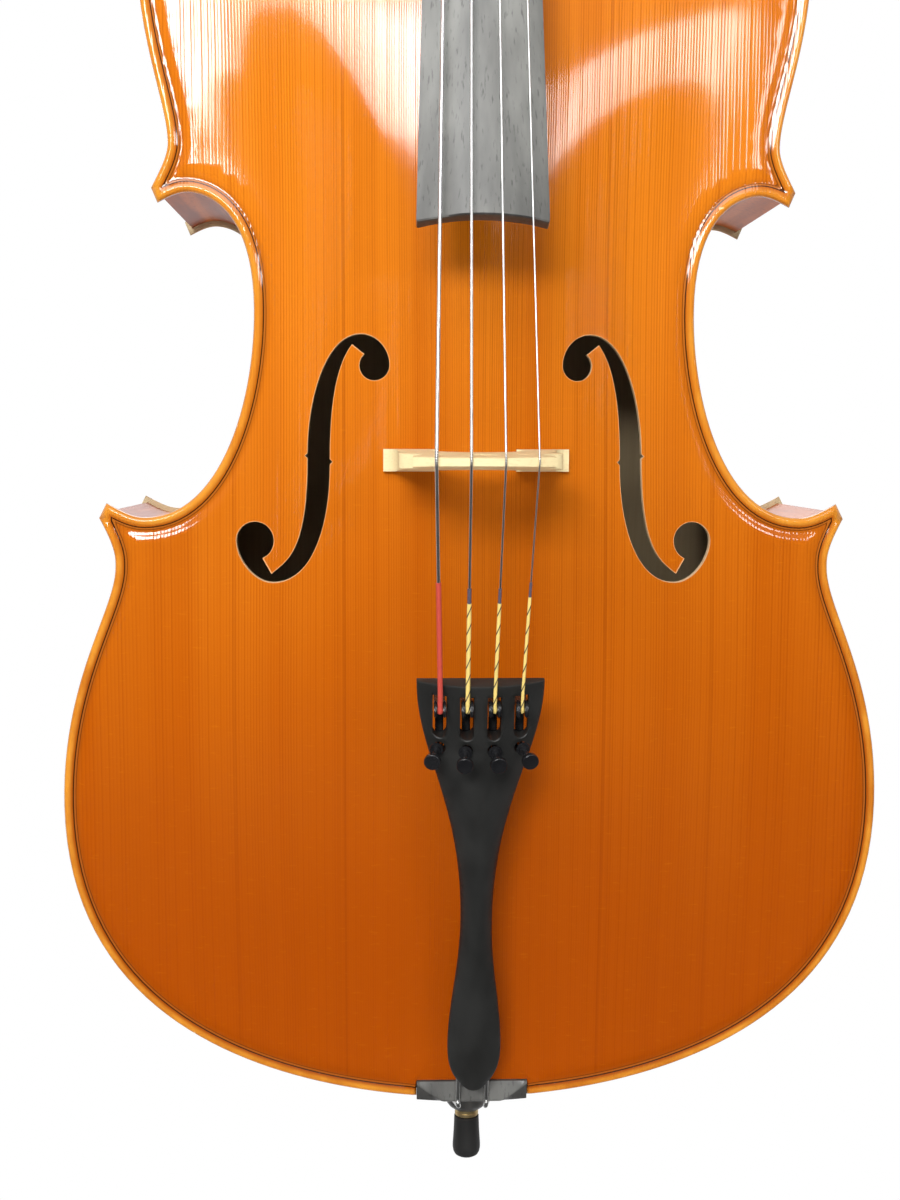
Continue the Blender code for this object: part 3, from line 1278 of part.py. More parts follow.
def make_tailpiece():
    """Moulded tailpiece with four tuner slots and four screw holes."""
    side = tail_curve()
    top = np.array([(x, 0.0) for x in np.linspace(-TAIL_HALF_TOP, TAIL_HALF_TOP, 9)[1:-1]])
    loop = np.vstack([top, side, mirrored(side)[::-1][1:]])
    holes = []
    for index in range(4):
        x = tuner_x(index)
        holes.append(np.vstack([arc((x, SLOT_END - SLOT_HALF), SLOT_HALF, 0, 180, 6),
                                [(x - SLOT_HALF, SLOT_START), (x + SLOT_HALF, SLOT_START)]]))
        holes.append(arc((x, SCREW_AT), SCREW_HOLE, 0, 360, 10)[:-1])
    below = SCREW_AT + 2 * SCREW_HOLE
    rows = [(half * share, along) for half, along in side[:-1] if along > below for share in (-0.5, 0, 0.5)]
    spots, faces = plate_faces(loop, holes, np.array(rows))
    drop = tail_drop(spots[:, 0], spots[:, 1])
    outer = [tail_spot(x, a, -d - GLUE_GAP) for (x, a), d in zip(spots, drop)]
    inner = [tail_spot(x, a, -tail_thick(a)) for x, a in spots]
    finish("tailpiece", shell(spots, faces, outer, inner), PLASTIC)


SCREW_HOLE = SCREW_RADIUS + SCREW_HOLE_GAP


def make_lever(index):
    """Tuner lever: a fork that holds the string end, an elbow under the tailpiece and a long arm."""
    x = tuner_x(index)
    under = -TAIL_THICK - FIT_GAP
    near = LEVER_AT - LEVER_ARM / 2
    far = LEVER_AT + LEVER_ARM / 2
    end = SCREW_AT + LEVER_PAST_SCREW
    profile = [(near, LEVER_RISE), (near, under - LEVER_ARM), (end, under - LEVER_ARM), (end, under),
               (far, under), (far, LEVER_RISE)]
    slit = LEVER_SLIT / 2
    floor = -LEVER_SLIT_DEPTH
    pivot = tail_spot(x, LEVER_AT, under - LEVER_ARM / 2)
    body = loft([[tail_spot(x + s * LEVER_HALF, a, o) for a, o in profile] for s in (-1, 1)])
    lever = finish(f"tuner_lever_{STRING_NAMES[index]}", body, PLASTIC, pivot)
    gap = [(near - CUT_OVER, floor), (far + CUT_OVER, floor), (far + CUT_OVER, LEVER_RISE + CUT_OVER),
           (near - CUT_OVER, LEVER_RISE + CUT_OVER)]
    cutter = loft([[tail_spot(x + s * slit, a, o) for a, o in gap] for s in (-1, 1)])
    cut(lever, finish(f"tuner_slit_{STRING_NAMES[index]}", cutter, PLASTIC))
    return lever


def make_tuner_screw(index):
    """Tuner screw: thin shank through the tailpiece and a small turned knob above it."""
    x = tuner_x(index)
    lean = Matrix.Rotation(-x * SCREW_FAN, 3, TAIL_DOWN)
    axis = lean @ TAIL_OUT
    across = axis.cross(TAIL_DOWN).normalized()
    foot = tail_spot(x, SCREW_AT, -TAIL_THICK + GLUE_GAP)
    drop = float(tail_drop(np.array(x), np.array(SCREW_AT)))
    knob = TAIL_THICK - drop + SCREW_LENGTH
    top = knob + SCREW_KNOB_LENGTH
    stations = [(0, SCREW_RADIUS), (knob, SCREW_RADIUS), (knob, SCREW_KNOB_RADIUS - KNOB_CHAMFER),
                (knob + KNOB_CHAMFER, SCREW_KNOB_RADIUS), (top - KNOB_CHAMFER, SCREW_KNOB_RADIUS),
                (top, SCREW_KNOB_RADIUS - KNOB_CHAMFER)]
    rings = []
    for height, radius in stations:
        ring = []
        for k in range(12):
            angle = 2 * math.pi * k / 12
            ring.append(foot + height * axis
                        + radius * (math.cos(angle) * TAIL_DOWN + math.sin(angle) * across))
        rings.append(ring)
    return finish(f"tuner_screw_{STRING_NAMES[index]}", loft(rings), KNOB, foot)


def make_saddle():
    """Ebony rest let into the belly's lower edge, with sloping wings and a raised crest."""
    low = GLUE_GAP
    wing = EDGE_THICK + GLUE_GAP
    half = [(SADDLE_HALF, low), (SADDLE_HALF, wing),
            (SADDLE_CREST_HALF + SADDLE_BREAK, SADDLE_CREST - SADDLE_BREAK_DROP),
            (SADDLE_CREST_HALF, SADDLE_CREST)]
    outline = half + [(-x, h) for x, h in reversed(half)]
    rings = []
    for z, shave in ((-SADDLE_LIP, SADDLE_ROUND), (SADDLE_ROUND - SADDLE_LIP, 0),
                     (SADDLE_DEPTH - SADDLE_ROUND, 0), (SADDLE_DEPTH, SADDLE_ROUND)):
        rings.append([(x, FRONT - max(low, h - (shave if h > low else 0)), z) for x, h in outline])
    finish("saddle", loft(rings), EBONY)


def make_tail_wire():
    """One steel loop: under the tailpiece's end, over the saddle and round the endpin's groove."""
    rest = SADDLE_TOP_Y - GLUE_GAP - WIRE_RADIUS
    groove = -(PLUG_FLANGE_END + PLUG_GROOVE_END) / 2
    ring = PLUG_GROOVE + TURN_GAP + WIRE_RADIUS
    grip = TAIL_LENGTH - WIRE_GRIP
    start = tail_spot(-WIRE_HALF, grip, -tail_thick(grip) - GLUE_GAP - WIRE_RADIUS)
    bend_z = -SADDLE_LIP - WIRE_BEND_OUT
    bend_y = rest + WIRE_BEND_DOWN
    side = Vector((-ring, -ring, groove))
    over = Vector((-WIRE_HALF, bend_y, bend_z))
    left = [start, Vector((-WIRE_HALF, rest, SADDLE_DEPTH / 2)), Vector((-WIRE_HALF, rest, -SADDLE_LIP)),
            over, over.lerp(side, 0.5) - Vector((WIRE_SPREAD, 0, 0)), side]
    behind = [Vector((-ring * math.cos(a), ring * math.sin(a), groove))
              for a in np.radians(np.linspace(0, 180, 11))]
    right = [Vector((-p.x, p.y, p.z)) for p in reversed(left)]
    tube("tail_wire", left + behind + right, WIRE_RADIUS, STEEL)


# Endpin
def make_plug(end_block, ribs):
    """Tapered plug with flange, wire groove and clamping collar, bored for the rod."""
    bore = ROD_RADIUS + TURN_GAP
    rest = OVERHANG - GLUE_GAP
    inside_end = OVERHANG + PLUG_TAPER_LENGTH
    profile = [(bore, inside_end), (PLUG_TAPER_TIP, inside_end),
               (PLUG_TAPER_RADIUS, rest), (PLUG_FLANGE, rest), (PLUG_FLANGE, -PLUG_FLANGE_END),
               (PLUG_GROOVE, -PLUG_FLANGE_END - PLUG_CHAMFER), (PLUG_GROOVE, -PLUG_GROOVE_END + PLUG_CHAMFER),
               (PLUG_RADIUS, -PLUG_GROOVE_END), (PLUG_RADIUS, -PLUG_OUT + PLUG_CHAMFER),
               (PLUG_RADIUS - PLUG_CHAMFER, -PLUG_OUT), (bore, -PLUG_OUT)]
    plug = finish("endpin_plug", turned(profile, PLUG_SIDES), EBONY)
    wide = (PLUG_TAPER_RADIUS + FIT_GAP) / math.cos(math.pi / PLUG_SIDES)
    top = END_BLOCK_DEPTH + CUT_OVER
    for piece, name in ((end_block, "block_bore"), (ribs["lower", "left"], "rib_bore_left"),
                        (ribs["lower", "right"], "rib_bore_right")):
        body = turned([(0, -CUT_OVER), (wide, -CUT_OVER), (wide, top), (0, top)], PLUG_SIDES)
        cut(piece, finish(name, body, BARE_SPRUCE))
    hole = (CLAMP_RADIUS + TURN_GAP) / math.cos(math.pi / HOLE_SIDES)
    reach = PLUG_FLANGE + CUT_OVER
    body = turned([(0, 0), (hole, 0), (hole, reach), (0, reach)], HOLE_SIDES, "Y", (0, 0, -CLAMP_Z))
    cut(plug, finish("clamp_bore", body, EBONY))


def make_endpin():
    """Sliding rod with its ferrule and rubber tip, and the screw that clamps the rod."""
    top = -PLUG_OUT - GLUE_GAP
    under = top - FERRULE_LENGTH
    tip_top = under - GLUE_GAP
    tip_end = tip_top - TIP_LENGTH
    rod_end = tip_top - TIP_SOCKET
    profile = [(0, ROD_INSIDE), (ROD_RADIUS - ROD_CHAMFER, ROD_INSIDE),
               (ROD_RADIUS, ROD_INSIDE - ROD_CHAMFER), (ROD_RADIUS, rod_end), (0, rod_end)]
    finish("endpin_rod", turned(profile, ROD_SIDES), STEEL)
    hole = (ROD_RADIUS + GLUE_GAP) / math.cos(math.pi / ROD_SIDES)
    profile = [(hole, top), (FERRULE_RADIUS - FERRULE_CHAMFER, top), (FERRULE_RADIUS, top - FERRULE_CHAMFER),
               (FERRULE_RADIUS, under), (hole, under)]
    finish("endpin_ferrule", turned(profile, ROD_SIDES), BRASS)
    floor = rod_end - GLUE_GAP
    profile = [(0, floor), (hole, floor), (hole, tip_top), (TIP_RADIUS_TOP, tip_top),
               (TIP_RADIUS, tip_end + TIP_WIDEST), (TIP_RADIUS, tip_end + TIP_CHAMFER),
               (TIP_RADIUS_END, tip_end), (0, tip_end)]
    finish("endpin_tip", turned(profile, ROD_SIDES), RUBBER)
    start = ROD_RADIUS + GLUE_GAP
    head = PLUG_RADIUS + FIT_GAP
    profile = [(0, start), (CLAMP_RADIUS, start), (CLAMP_RADIUS, head), (CLAMP_HEAD_RADIUS, head),
               (CLAMP_HEAD_RADIUS, head + CLAMP_HEAD_LENGTH - CLAMP_CHAMFER),
               (CLAMP_HEAD_RADIUS - CLAMP_CHAMFER, head + CLAMP_HEAD_LENGTH), (0, head + CLAMP_HEAD_LENGTH)]
    body = turned(profile, HOLE_SIDES, "Y", (0, 0, -CLAMP_Z))
    finish("endpin_screw", body, STEEL, (0, start, -CLAMP_Z))


# Assembly
TOP_PLATE = make_top()
BACK_PLATE = make_back()
RIBS = make_sides()
END_BLOCK = make_blocks()
BELLY_DEPTH = surface_finder(TOP_PLATE)
BACK_DEPTH = surface_finder(BACK_PLATE)
make_bass_bar(BELLY_DEPTH)
make_sound_post(BELLY_DEPTH, BACK_DEPTH)
make_neck()
make_board()
make_nut()
make_bridge(BELLY_DEPTH)
make_tailpiece()
make_saddle()
make_tail_wire()
make_plug(END_BLOCK, RIBS)
make_endpin()
for number in range(4):
    make_peg(number)
    make_coil(number)
    make_string(number)
    make_lever(number)
    make_tuner_screw(number)
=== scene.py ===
import math

import bmesh
import bpy
import numpy as np
from mathutils import Matrix, Vector
from mathutils.geometry import delaunay_2d_cdt


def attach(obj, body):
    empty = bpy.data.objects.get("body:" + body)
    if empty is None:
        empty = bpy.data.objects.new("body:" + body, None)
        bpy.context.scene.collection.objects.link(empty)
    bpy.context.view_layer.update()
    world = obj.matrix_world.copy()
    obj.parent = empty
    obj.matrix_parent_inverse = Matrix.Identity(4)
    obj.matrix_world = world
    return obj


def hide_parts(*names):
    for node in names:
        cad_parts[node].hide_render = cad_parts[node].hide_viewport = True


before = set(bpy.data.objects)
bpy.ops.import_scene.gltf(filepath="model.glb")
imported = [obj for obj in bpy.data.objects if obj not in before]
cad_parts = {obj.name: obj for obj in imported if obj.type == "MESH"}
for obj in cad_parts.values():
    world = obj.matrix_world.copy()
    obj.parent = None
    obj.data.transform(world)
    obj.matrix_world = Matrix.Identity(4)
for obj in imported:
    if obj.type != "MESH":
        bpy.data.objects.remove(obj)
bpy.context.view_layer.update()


# Belly: two wedges of spruce joined along the middle, carved to an arch, with a rounded edge, an inlaid
# double line and two sound holes. It is glued to the ribs and covered with clear orange varnish.
LIFT = 0.0631
RIB_HEIGHT = 0.116
FRONT = -RIB_HEIGHT / 2
BACK = RIB_HEIGHT / 2
GLUE_GAP = 0.0003
FIT_GAP = 0.0005
BODY_LENGTH = 0.755
LOWER = (0.220, 0.166)
LOWER_DIP = (0.190, 0.295)
LOWER_TIP = (0.198, 0.3205)
LOWER_CORNER = (0.0088, math.radians(117))
LOWER_HOOK = (0.0200, 0.0075)
WAIST = (0.1155, 0.430)
UPPER_HOOK = (0.0153, 0.0054)
UPPER_TIP = (0.1677, 0.491)
UPPER_CORNER = (0.0080, math.radians(247))
UPPER_DIP = (0.1588, 0.5136)
UPPER = (0.173, 0.607)
SIDE_LEAN = math.radians(62)
HOOK_LEAN = math.radians(28)
RIGHT, UP, LEFT = 0.0, math.pi / 2, math.pi
ARCH_IN = 0.011
EDGE_THICK = 0.0045
EDGE_EASE = 0.0005
EDGE_SIDE = 0.0022
EDGE_CREST = 0.0050
EDGE_REACH = 0.0026
EDGE_UNDER = 0.0009
CHANNEL_AT = 0.0072
CHANNEL_SPREAD = 0.0032
CHANNEL_DROP = 0.0017
CHANNEL_END = 0.02
EDGE_RINGS = (0.0002, 0.0006, 0.0011, 0.0018, 0.0027, 0.0038, 0.0050, 0.0063, 0.0078, 0.0096, 0.0120)
RING_KEEP = 0.96
FIELD_START = 0.004
FIELD_STEP = 0.0052
FIELD_CLEAR = 0.3 * FIELD_STEP
HOLE_CLEAR = 0.25 * FIELD_STEP
LOWER_STEPS = 48
ARCH_SQUARE = 8
ARCH_ALONG = 2.2
ARCH_ACROSS = 1.15
TOP_ARCH = 0.0245
TOP_THICK = 0.005
TENON_HALF = 0.0165
TENON_DEPTH = 0.016
SADDLE_HALF = 0.030
SADDLE_DEPTH = 0.010
HOLE_EASE = 0.0007
HOLE_KEEP = 0.9 * HOLE_EASE


def bezier(start, lean_start, end, lean_end, pulls, steps):
    """Points of a cubic curve that leaves and arrives at the given directions."""
    p0, p3 = np.array(start), np.array(end)
    p1 = p0 + pulls[0] * np.array((math.cos(lean_start), math.sin(lean_start)))
    p2 = p3 - pulls[1] * np.array((math.cos(lean_end), math.sin(lean_end)))
    t = np.linspace(0, 1, steps + 1)[:, None]
    return (1 - t) ** 3 * p0 + 3 * (1 - t) ** 2 * t * p1 + 3 * (1 - t) * t ** 2 * p2 + t ** 3 * p3


def chain(*curves):
    return np.vstack([curves[0]] + [c[1:] for c in curves[1:]])


def polar(start, length, angle):
    return (start[0] + length * math.cos(angle), start[1] + length * math.sin(angle))


def body_curves():
    """Right half of the plate edge: lower bout, waist and upper bout."""
    inside_low = polar(LOWER_TIP, *LOWER_CORNER)
    hook_low = (inside_low[0] - LOWER_HOOK[0], inside_low[1] - LOWER_HOOK[1])
    inside_high = polar(UPPER_TIP, *UPPER_CORNER)
    hook_high = (inside_high[0] - UPPER_HOOK[0], inside_high[1] + UPPER_HOOK[1])
    lower = chain(bezier((0, 0), RIGHT, LOWER, UP, (0.020, 0.166), LOWER_STEPS),
                  bezier(LOWER, UP, LOWER_DIP, UP, (0.0686, 0.0226), 24),
                  bezier(LOWER_DIP, UP, LOWER_TIP, SIDE_LEAN, (0.004, 0.0185), 12))
    waist = chain(bezier(inside_low, LEFT + HOOK_LEAN, hook_low, LEFT, (0.0074, 0.0072), 8),
                  bezier(hook_low, LEFT, WAIST, UP, (0.0393, 0.0491), 27),
                  bezier(WAIST, UP, hook_high, RIGHT, (0.0535, 0.0081), 21),
                  bezier(hook_high, RIGHT, inside_high, -HOOK_LEAN, (0.005, 0.006), 8))
    upper = chain(bezier(UPPER_TIP, LEFT - SIDE_LEAN, UPPER_DIP, UP, (0.0082, 0.0066), 10),
                  bezier(UPPER_DIP, UP, UPPER, UP, (0.0196, 0.0427), 18),
                  bezier(UPPER, UP, (0, BODY_LENGTH), LEFT, (0.085, 0.105), 44))
    return lower, waist, upper


LOWER_CURVE, WAIST_CURVE, UPPER_CURVE = body_curves()


def mirrored(curve):
    return curve * np.array((-1, 1))


def inset(curve, distance):
    """Move a plan curve towards the inside of the body, on its left."""
    steps = np.gradient(curve, axis=0)
    steps /= np.hypot(steps[:, 0], steps[:, 1])[:, None]
    return curve + distance * np.stack((-steps[:, 1], steps[:, 0]), axis=1)


def ring_along(loop, distance):
    """A closed loop moved inwards by a distance, or outwards by a negative one."""
    return inset(np.vstack([loop, loop[:2]]), distance)[1:-1]


def inside(points, loop):
    """True for the points inside a closed plan loop."""
    hits = np.zeros(len(points), int)
    x, z = points[:, 0], points[:, 1]
    for (ax, az), (bx, bz) in zip(loop, np.roll(loop, -1, axis=0)):
        if az != bz:
            hits += ((az > z) != (bz > z)) & (x < ax + (z - az) * (bx - ax) / (bz - az))
    return hits % 2 == 1


def edge_distance(points, loop):
    """Least distance from each point to a closed plan loop."""
    best = np.full(len(points), 9.0)
    for a, b in zip(loop, np.roll(loop, -1, axis=0)):
        ab = b - a
        t = np.clip(((points - a) @ ab) / max(ab @ ab, 1e-15), 0, 1)
        best = np.minimum(best, np.hypot(*(points - a - t[:, None] * ab).T))
    return best


def plate_loop(top_half, top_points):
    """Whole plate edge, anticlockwise, with its own run of points across the top."""
    high = UPPER_CURVE[np.abs(UPPER_CURVE[:, 0]) > top_half]
    last = [(top_half, np.interp(top_half, UPPER_CURVE[::-1, 0], UPPER_CURVE[::-1, 1]))]
    half = np.vstack([LOWER_CURVE, WAIST_CURVE, high, last])
    return np.vstack([half, top_points, mirrored(half[1:])[::-1]])


EDGE = plate_loop(FIELD_START, np.array([(0.0, BODY_LENGTH)]))


def blend(value, low, high):
    return (1 - np.cos(math.pi * np.clip((value - low) / (high - low), 0, 1))) / 2


def arch_height(points, arch):
    """Rise of the arched field over the plate's edge, without its channel."""
    x, z = points[:, 0], points[:, 1]
    share = np.clip(np.abs(z - BODY_LENGTH / 2) / (BODY_LENGTH / 2 - ARCH_IN), 0, 1)
    wide = LOWER[0] + (WAIST[0] - LOWER[0]) * blend(z, LOWER[1], WAIST[1])
    wide = wide + (UPPER[0] - WAIST[0]) * blend(z, WAIST[1], UPPER[1]) - ARCH_IN
    cross = np.clip(np.abs(x) / (wide * np.sqrt(1 - share ** ARCH_SQUARE) + 1e-6), 0, 1)
    along = (1 + np.cos(math.pi * share ** ARCH_ALONG)) / 2
    return (arch - EDGE_THICK) * along * (1 + np.cos(math.pi * cross ** ARCH_ACROSS)) / 2


def plate_height(points, arch, distance):
    """Outer face of a plate: half-round edge, channel and arch."""
    lip = np.clip(distance / EDGE_REACH, 0, 1)
    edge = EDGE_SIDE + (EDGE_CREST - EDGE_SIDE) * np.sqrt(1 - (1 - lip) ** 2)
    channel = CHANNEL_DROP * np.exp(-((distance - CHANNEL_AT) / CHANNEL_SPREAD) ** 2)
    ease = EDGE_EASE * blend(distance, CHANNEL_AT, CHANNEL_END)
    return edge - channel * lip - ease + arch_height(points, arch)


def plan_mesh(loop, holes, extra):
    """Triangles over a plan with holes, through its edge points and the points between."""
    rows = [loop] + holes
    points = np.vstack(rows + [extra])
    edges = []
    first = 0
    for row in rows:
        edges += [(first + i, first + (i + 1) % len(row)) for i in range(len(row))]
        first += len(row)
    spots, _, faces, _, _, _ = delaunay_2d_cdt([Vector(p) for p in points], edges, [], 0, 1e-7)
    spots = np.array([tuple(p) for p in spots])
    middles = np.array([spots[list(f)].mean(axis=0) for f in faces])
    keep = inside(middles, loop)
    for hole in holes:
        keep &= ~inside(middles, hole)
    return spots, [list(f) for f, k in zip(faces, keep) if k]


def open_edges(faces):
    seen = {}
    for face in faces:
        for a, b in zip(face, face[1:] + face[:1]):
            if (b, a) in seen:
                del seen[b, a]
            else:
                seen[a, b] = True
    return list(seen)


def two_sided(faces, count):
    """Faces of a closed shell: a sheet, the same sheet count points on, and the walls between."""
    solid = faces + [[i + count for i in reversed(f)] for f in faces]
    return solid + [[b, a, a + count, b + count] for a, b in open_edges(faces)]


def plan_field(xs, zs, loop, holes, gap):
    """Points of a grid inside a plan with holes, at least gap away from its edges."""
    field = np.stack([axis.ravel() for axis in np.meshgrid(xs, zs)], axis=1)
    field = field[inside(field, loop)]
    for edge in [loop] + holes:
        field = field[edge_distance(field, edge) > gap]
    for hole in holes:
        field = field[~inside(field, hole)]
    return field


def worked_mesh(name, spots, faces, work):
    """A mesh of points and faces, after some work on it."""
    mesh = bpy.data.meshes.new(name)
    mesh.from_pydata([tuple(p) for p in spots], [], [list(f) for f in faces])
    bm = bmesh.new()
    bm.from_mesh(mesh)
    work(bm)
    bm.to_mesh(mesh)
    bm.free()
    return mesh


def drop_loose(bm):
    bmesh.ops.delete(bm, geom=[v for v in bm.verts if not v.link_faces], context="VERTS")
    bmesh.ops.recalc_face_normals(bm, faces=bm.faces)


def placed(name, data):
    obj = bpy.data.objects.new(name, data)
    bpy.context.scene.collection.objects.link(obj)
    return obj


def piece(name, spots, faces, coats, body, slot, *nodes, angle=40):
    """Make one visible piece from points in the body's own heights, and tie it to the CAD."""
    mesh = worked_mesh(name, [(p[0], p[1], p[2] + LIFT) for p in spots], faces, drop_loose)
    mesh.shade_smooth()
    mesh.set_sharp_from_angle(angle=math.radians(angle))
    for one in coats if isinstance(coats, list) else [coats]:
        mesh.materials.append(one)
    obj = placed(name, mesh)
    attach(obj, body)
    if nodes:
        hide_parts(*nodes)
    return obj


def turn_sign(loop):
    """1 where inset() moves the points of a closed loop away from its middle, else -1."""
    ahead = np.roll(loop, -1, axis=0)
    return -1 if np.sum(loop[:, 0] * ahead[:, 1] - ahead[:, 0] * loop[:, 1]) > 0 else 1


def make_plate(name, loop, rim, holes, arch, thick, plane, outward, coats, slot, node):
    """Carved plate whose edge is rounded along rim; it keeps its distance from it for the inlay."""
    rings = []
    for distance in EDGE_RINGS:
        ring = ring_along(loop, distance)
        ring = ring[inside(ring, loop)]
        rings.append(ring[edge_distance(ring, loop) > RING_KEEP * distance])
    xs = np.arange(-LOWER[0], LOWER[0], FIELD_STEP)
    field = np.array([(x + (k % 2) * FIELD_STEP / 2, z) for x in xs
                      for k, z in enumerate(np.arange(FIELD_START, BODY_LENGTH, FIELD_STEP))])
    field = field[inside(field, loop)]
    field = field[edge_distance(field, loop) > EDGE_RINGS[-1] + FIELD_CLEAR]
    extra = np.vstack(rings + [field])
    for hole in holes:
        extra = extra[~inside(extra, hole) & (edge_distance(extra, hole) > HOLE_CLEAR)]
    for hole in holes:
        ring = ring_along(hole, HOLE_EASE * turn_sign(hole))
        ring = ring[~inside(ring, hole) & (edge_distance(ring, hole) > HOLE_KEEP)]
        extra = np.vstack([extra, ring])
    spots, faces = plan_mesh(loop, holes, extra)
    distance = edge_distance(spots, rim)
    outer = plate_height(spots, arch, distance)
    inner = np.where(distance < ARCH_IN, EDGE_UNDER * np.clip(1 - distance / EDGE_UNDER, 0, 1),
                     np.maximum(0, outer - thick))
    places = [(x, plane + outward * (GLUE_GAP + h), z)
              for heights in (outer, inner) for (x, z), h in zip(spots, heights)]
    solid = two_sided(faces, len(spots))
    plate = piece(name, places, solid, coats, "cello_body", slot, node, angle=50)
    middles = np.array([(p.center[0], p.center[2] - LIFT) for p in plate.data.polygons])
    bare = np.arange(len(solid)) // len(faces) == 1
    cut = (np.arange(len(solid)) >= 2 * len(faces)) & (edge_distance(middles, loop) > ARCH_IN)
    plate.data.polygons.foreach_set("material_index", (bare + 2 * cut).astype(np.int32))
    flat = np.array([(v.co.x, v.co.z - LIFT) for v in plate.data.vertices])
    for mark, loops in (("edge_distance", [rim]), ("hole_distance", holes)):
        if loops:
            near = np.minimum.reduce([edge_distance(flat, one) for one in loops])
            values = plate.data.attributes.new(mark, "FLOAT", "POINT").data
            values.foreach_set("value", near.astype(np.float32))


class Tone:
    """One socket of a material: arithmetic on it adds Math nodes, any other node comes from node()."""

    def __init__(self, tree, socket=None):
        self.tree = tree
        self.socket = socket

    def node(self, kind, settings, sockets, out=0):
        made = self.tree.nodes.new("ShaderNode" + kind)
        for name, value in settings.items():
            setattr(made, name, value)
        for name, value in sockets.items():
            if isinstance(value, Tone):
                self.tree.links.new(value.socket, made.inputs[name])
            elif isinstance(value, tuple) and made.inputs[name].type == "RGBA":
                made.inputs[name].default_value = (*value, 1)
            else:
                made.inputs[name].default_value = value
        return Tone(self.tree, made.outputs[out])

    def out(self, index):
        return Tone(self.tree, self.socket.node.outputs[index])

    def math(self, operation, *values):
        return self.node("Math", {"operation": operation}, dict(enumerate(values)))

    def __add__(self, other):
        return self.math("ADD", self, other)

    __radd__ = __add__

    def __sub__(self, other):
        return self.math("SUBTRACT", self, other)

    def __rsub__(self, other):
        return self.math("SUBTRACT", other, self)

    def __mul__(self, other):
        return self.math("MULTIPLY", self, other)

    __rmul__ = __mul__

    def __pow__(self, other):
        return self.math("POWER", self, other)

    def __abs__(self):
        return self.math("ABSOLUTE", self)

    def step(self, low, high):
        """Rise smoothly from 0 at low to 1 at high."""
        return self.node("MapRange", {"interpolation_type": "SMOOTHSTEP"},
                         {"Value": self, "From Min": low, "From Max": high})

    def line(self, middle, half):
        """1 on a line of the given half width, 0 beside it."""
        return 1 - abs(self - middle).step(0.5 * half, 1.5 * half)

    def place(self):
        """Across, depth and height of the point on the piece, in metres."""
        spot = self.node("SeparateXYZ", {}, {0: self.node("TexCoord", {}, {}, 3)})
        return spot, spot.out(1), spot.out(2)

    def noise(self, x, y, z, detail):
        spot = self.node("CombineXYZ", {}, {0: x, 1: y, 2: z})
        return self.node("TexNoise", {}, {"Vector": spot, "Scale": 1.0, "Detail": detail})

    def mix(self, low, high):
        """Colour between two colours, by this value."""
        return self.node("Mix", {"data_type": "RGBA"}, {0: self, 6: low, 7: high}, 2)


def finish(name, **constants):
    """A Principled material with its even values set, a Tone to paint it by, and where a point lies."""
    mat = bpy.data.materials.new(name)
    mat.use_nodes = True
    shader = mat.node_tree.nodes["Principled BSDF"]
    for socket, value in constants.items():
        shader.inputs[socket.replace("_", " ")].default_value = value
    tone = Tone(mat.node_tree)
    return mat, tone, *tone.place()


def paint(mat, colour, roughness, height, strength, depth):
    """Link what changes over the surface into the shader."""
    bump = height.node("Bump", {}, {"Strength": strength, "Distance": depth, "Height": height})
    inputs = mat.node_tree.nodes["Principled BSDF"].inputs
    for name, value in (("Base Color", colour), ("Roughness", roughness), ("Normal", bump)):
        mat.node_tree.links.new(value.socket, inputs[name])


def inlaid_edge(tone, x, y, z, colour):
    """Dark double inlay and golden edge, from the distance to the outline; the gold is partly wear and
    partly a painted highlight along the bead.
    """
    far = tone.node("Attribute", {"attribute_name": "edge_distance"}, {}, 2)
    wear = tone.noise(x * 45, y * 45, z * 45, 4)
    # Golden edge: partly real wear, partly a painted highlight along the rounded bead.
    rim = 1 - far.step(0.0030, 0.0050)
    worn = rim * (0.45 + 0.55 * wear.step(0.35, 0.7))
    colour = worn.mix(colour, (0.68, 0.270, 0.028))
    shade = (1 - abs(far - 0.0058).step(0.0004, 0.0040)) * 0.45
    colour = shade.mix(colour, (0.26, 0.055, 0.004))
    chip = rim * tone.noise(x * 160, y * 160, z * 160, 3).step(0.70, 0.74)
    colour = chip.mix(colour, (0.80, 0.55, 0.26))
    colour = (far.line(0.0058, 0.0005) * 0.3).mix(colour, (0.40, 0.15, 0.025))
    dark = far.line(0.0052, 0.00030) + 0.6 * far.line(0.0065, 0.00022)
    return dark.mix(colour, (0.040, 0.012, 0.003))


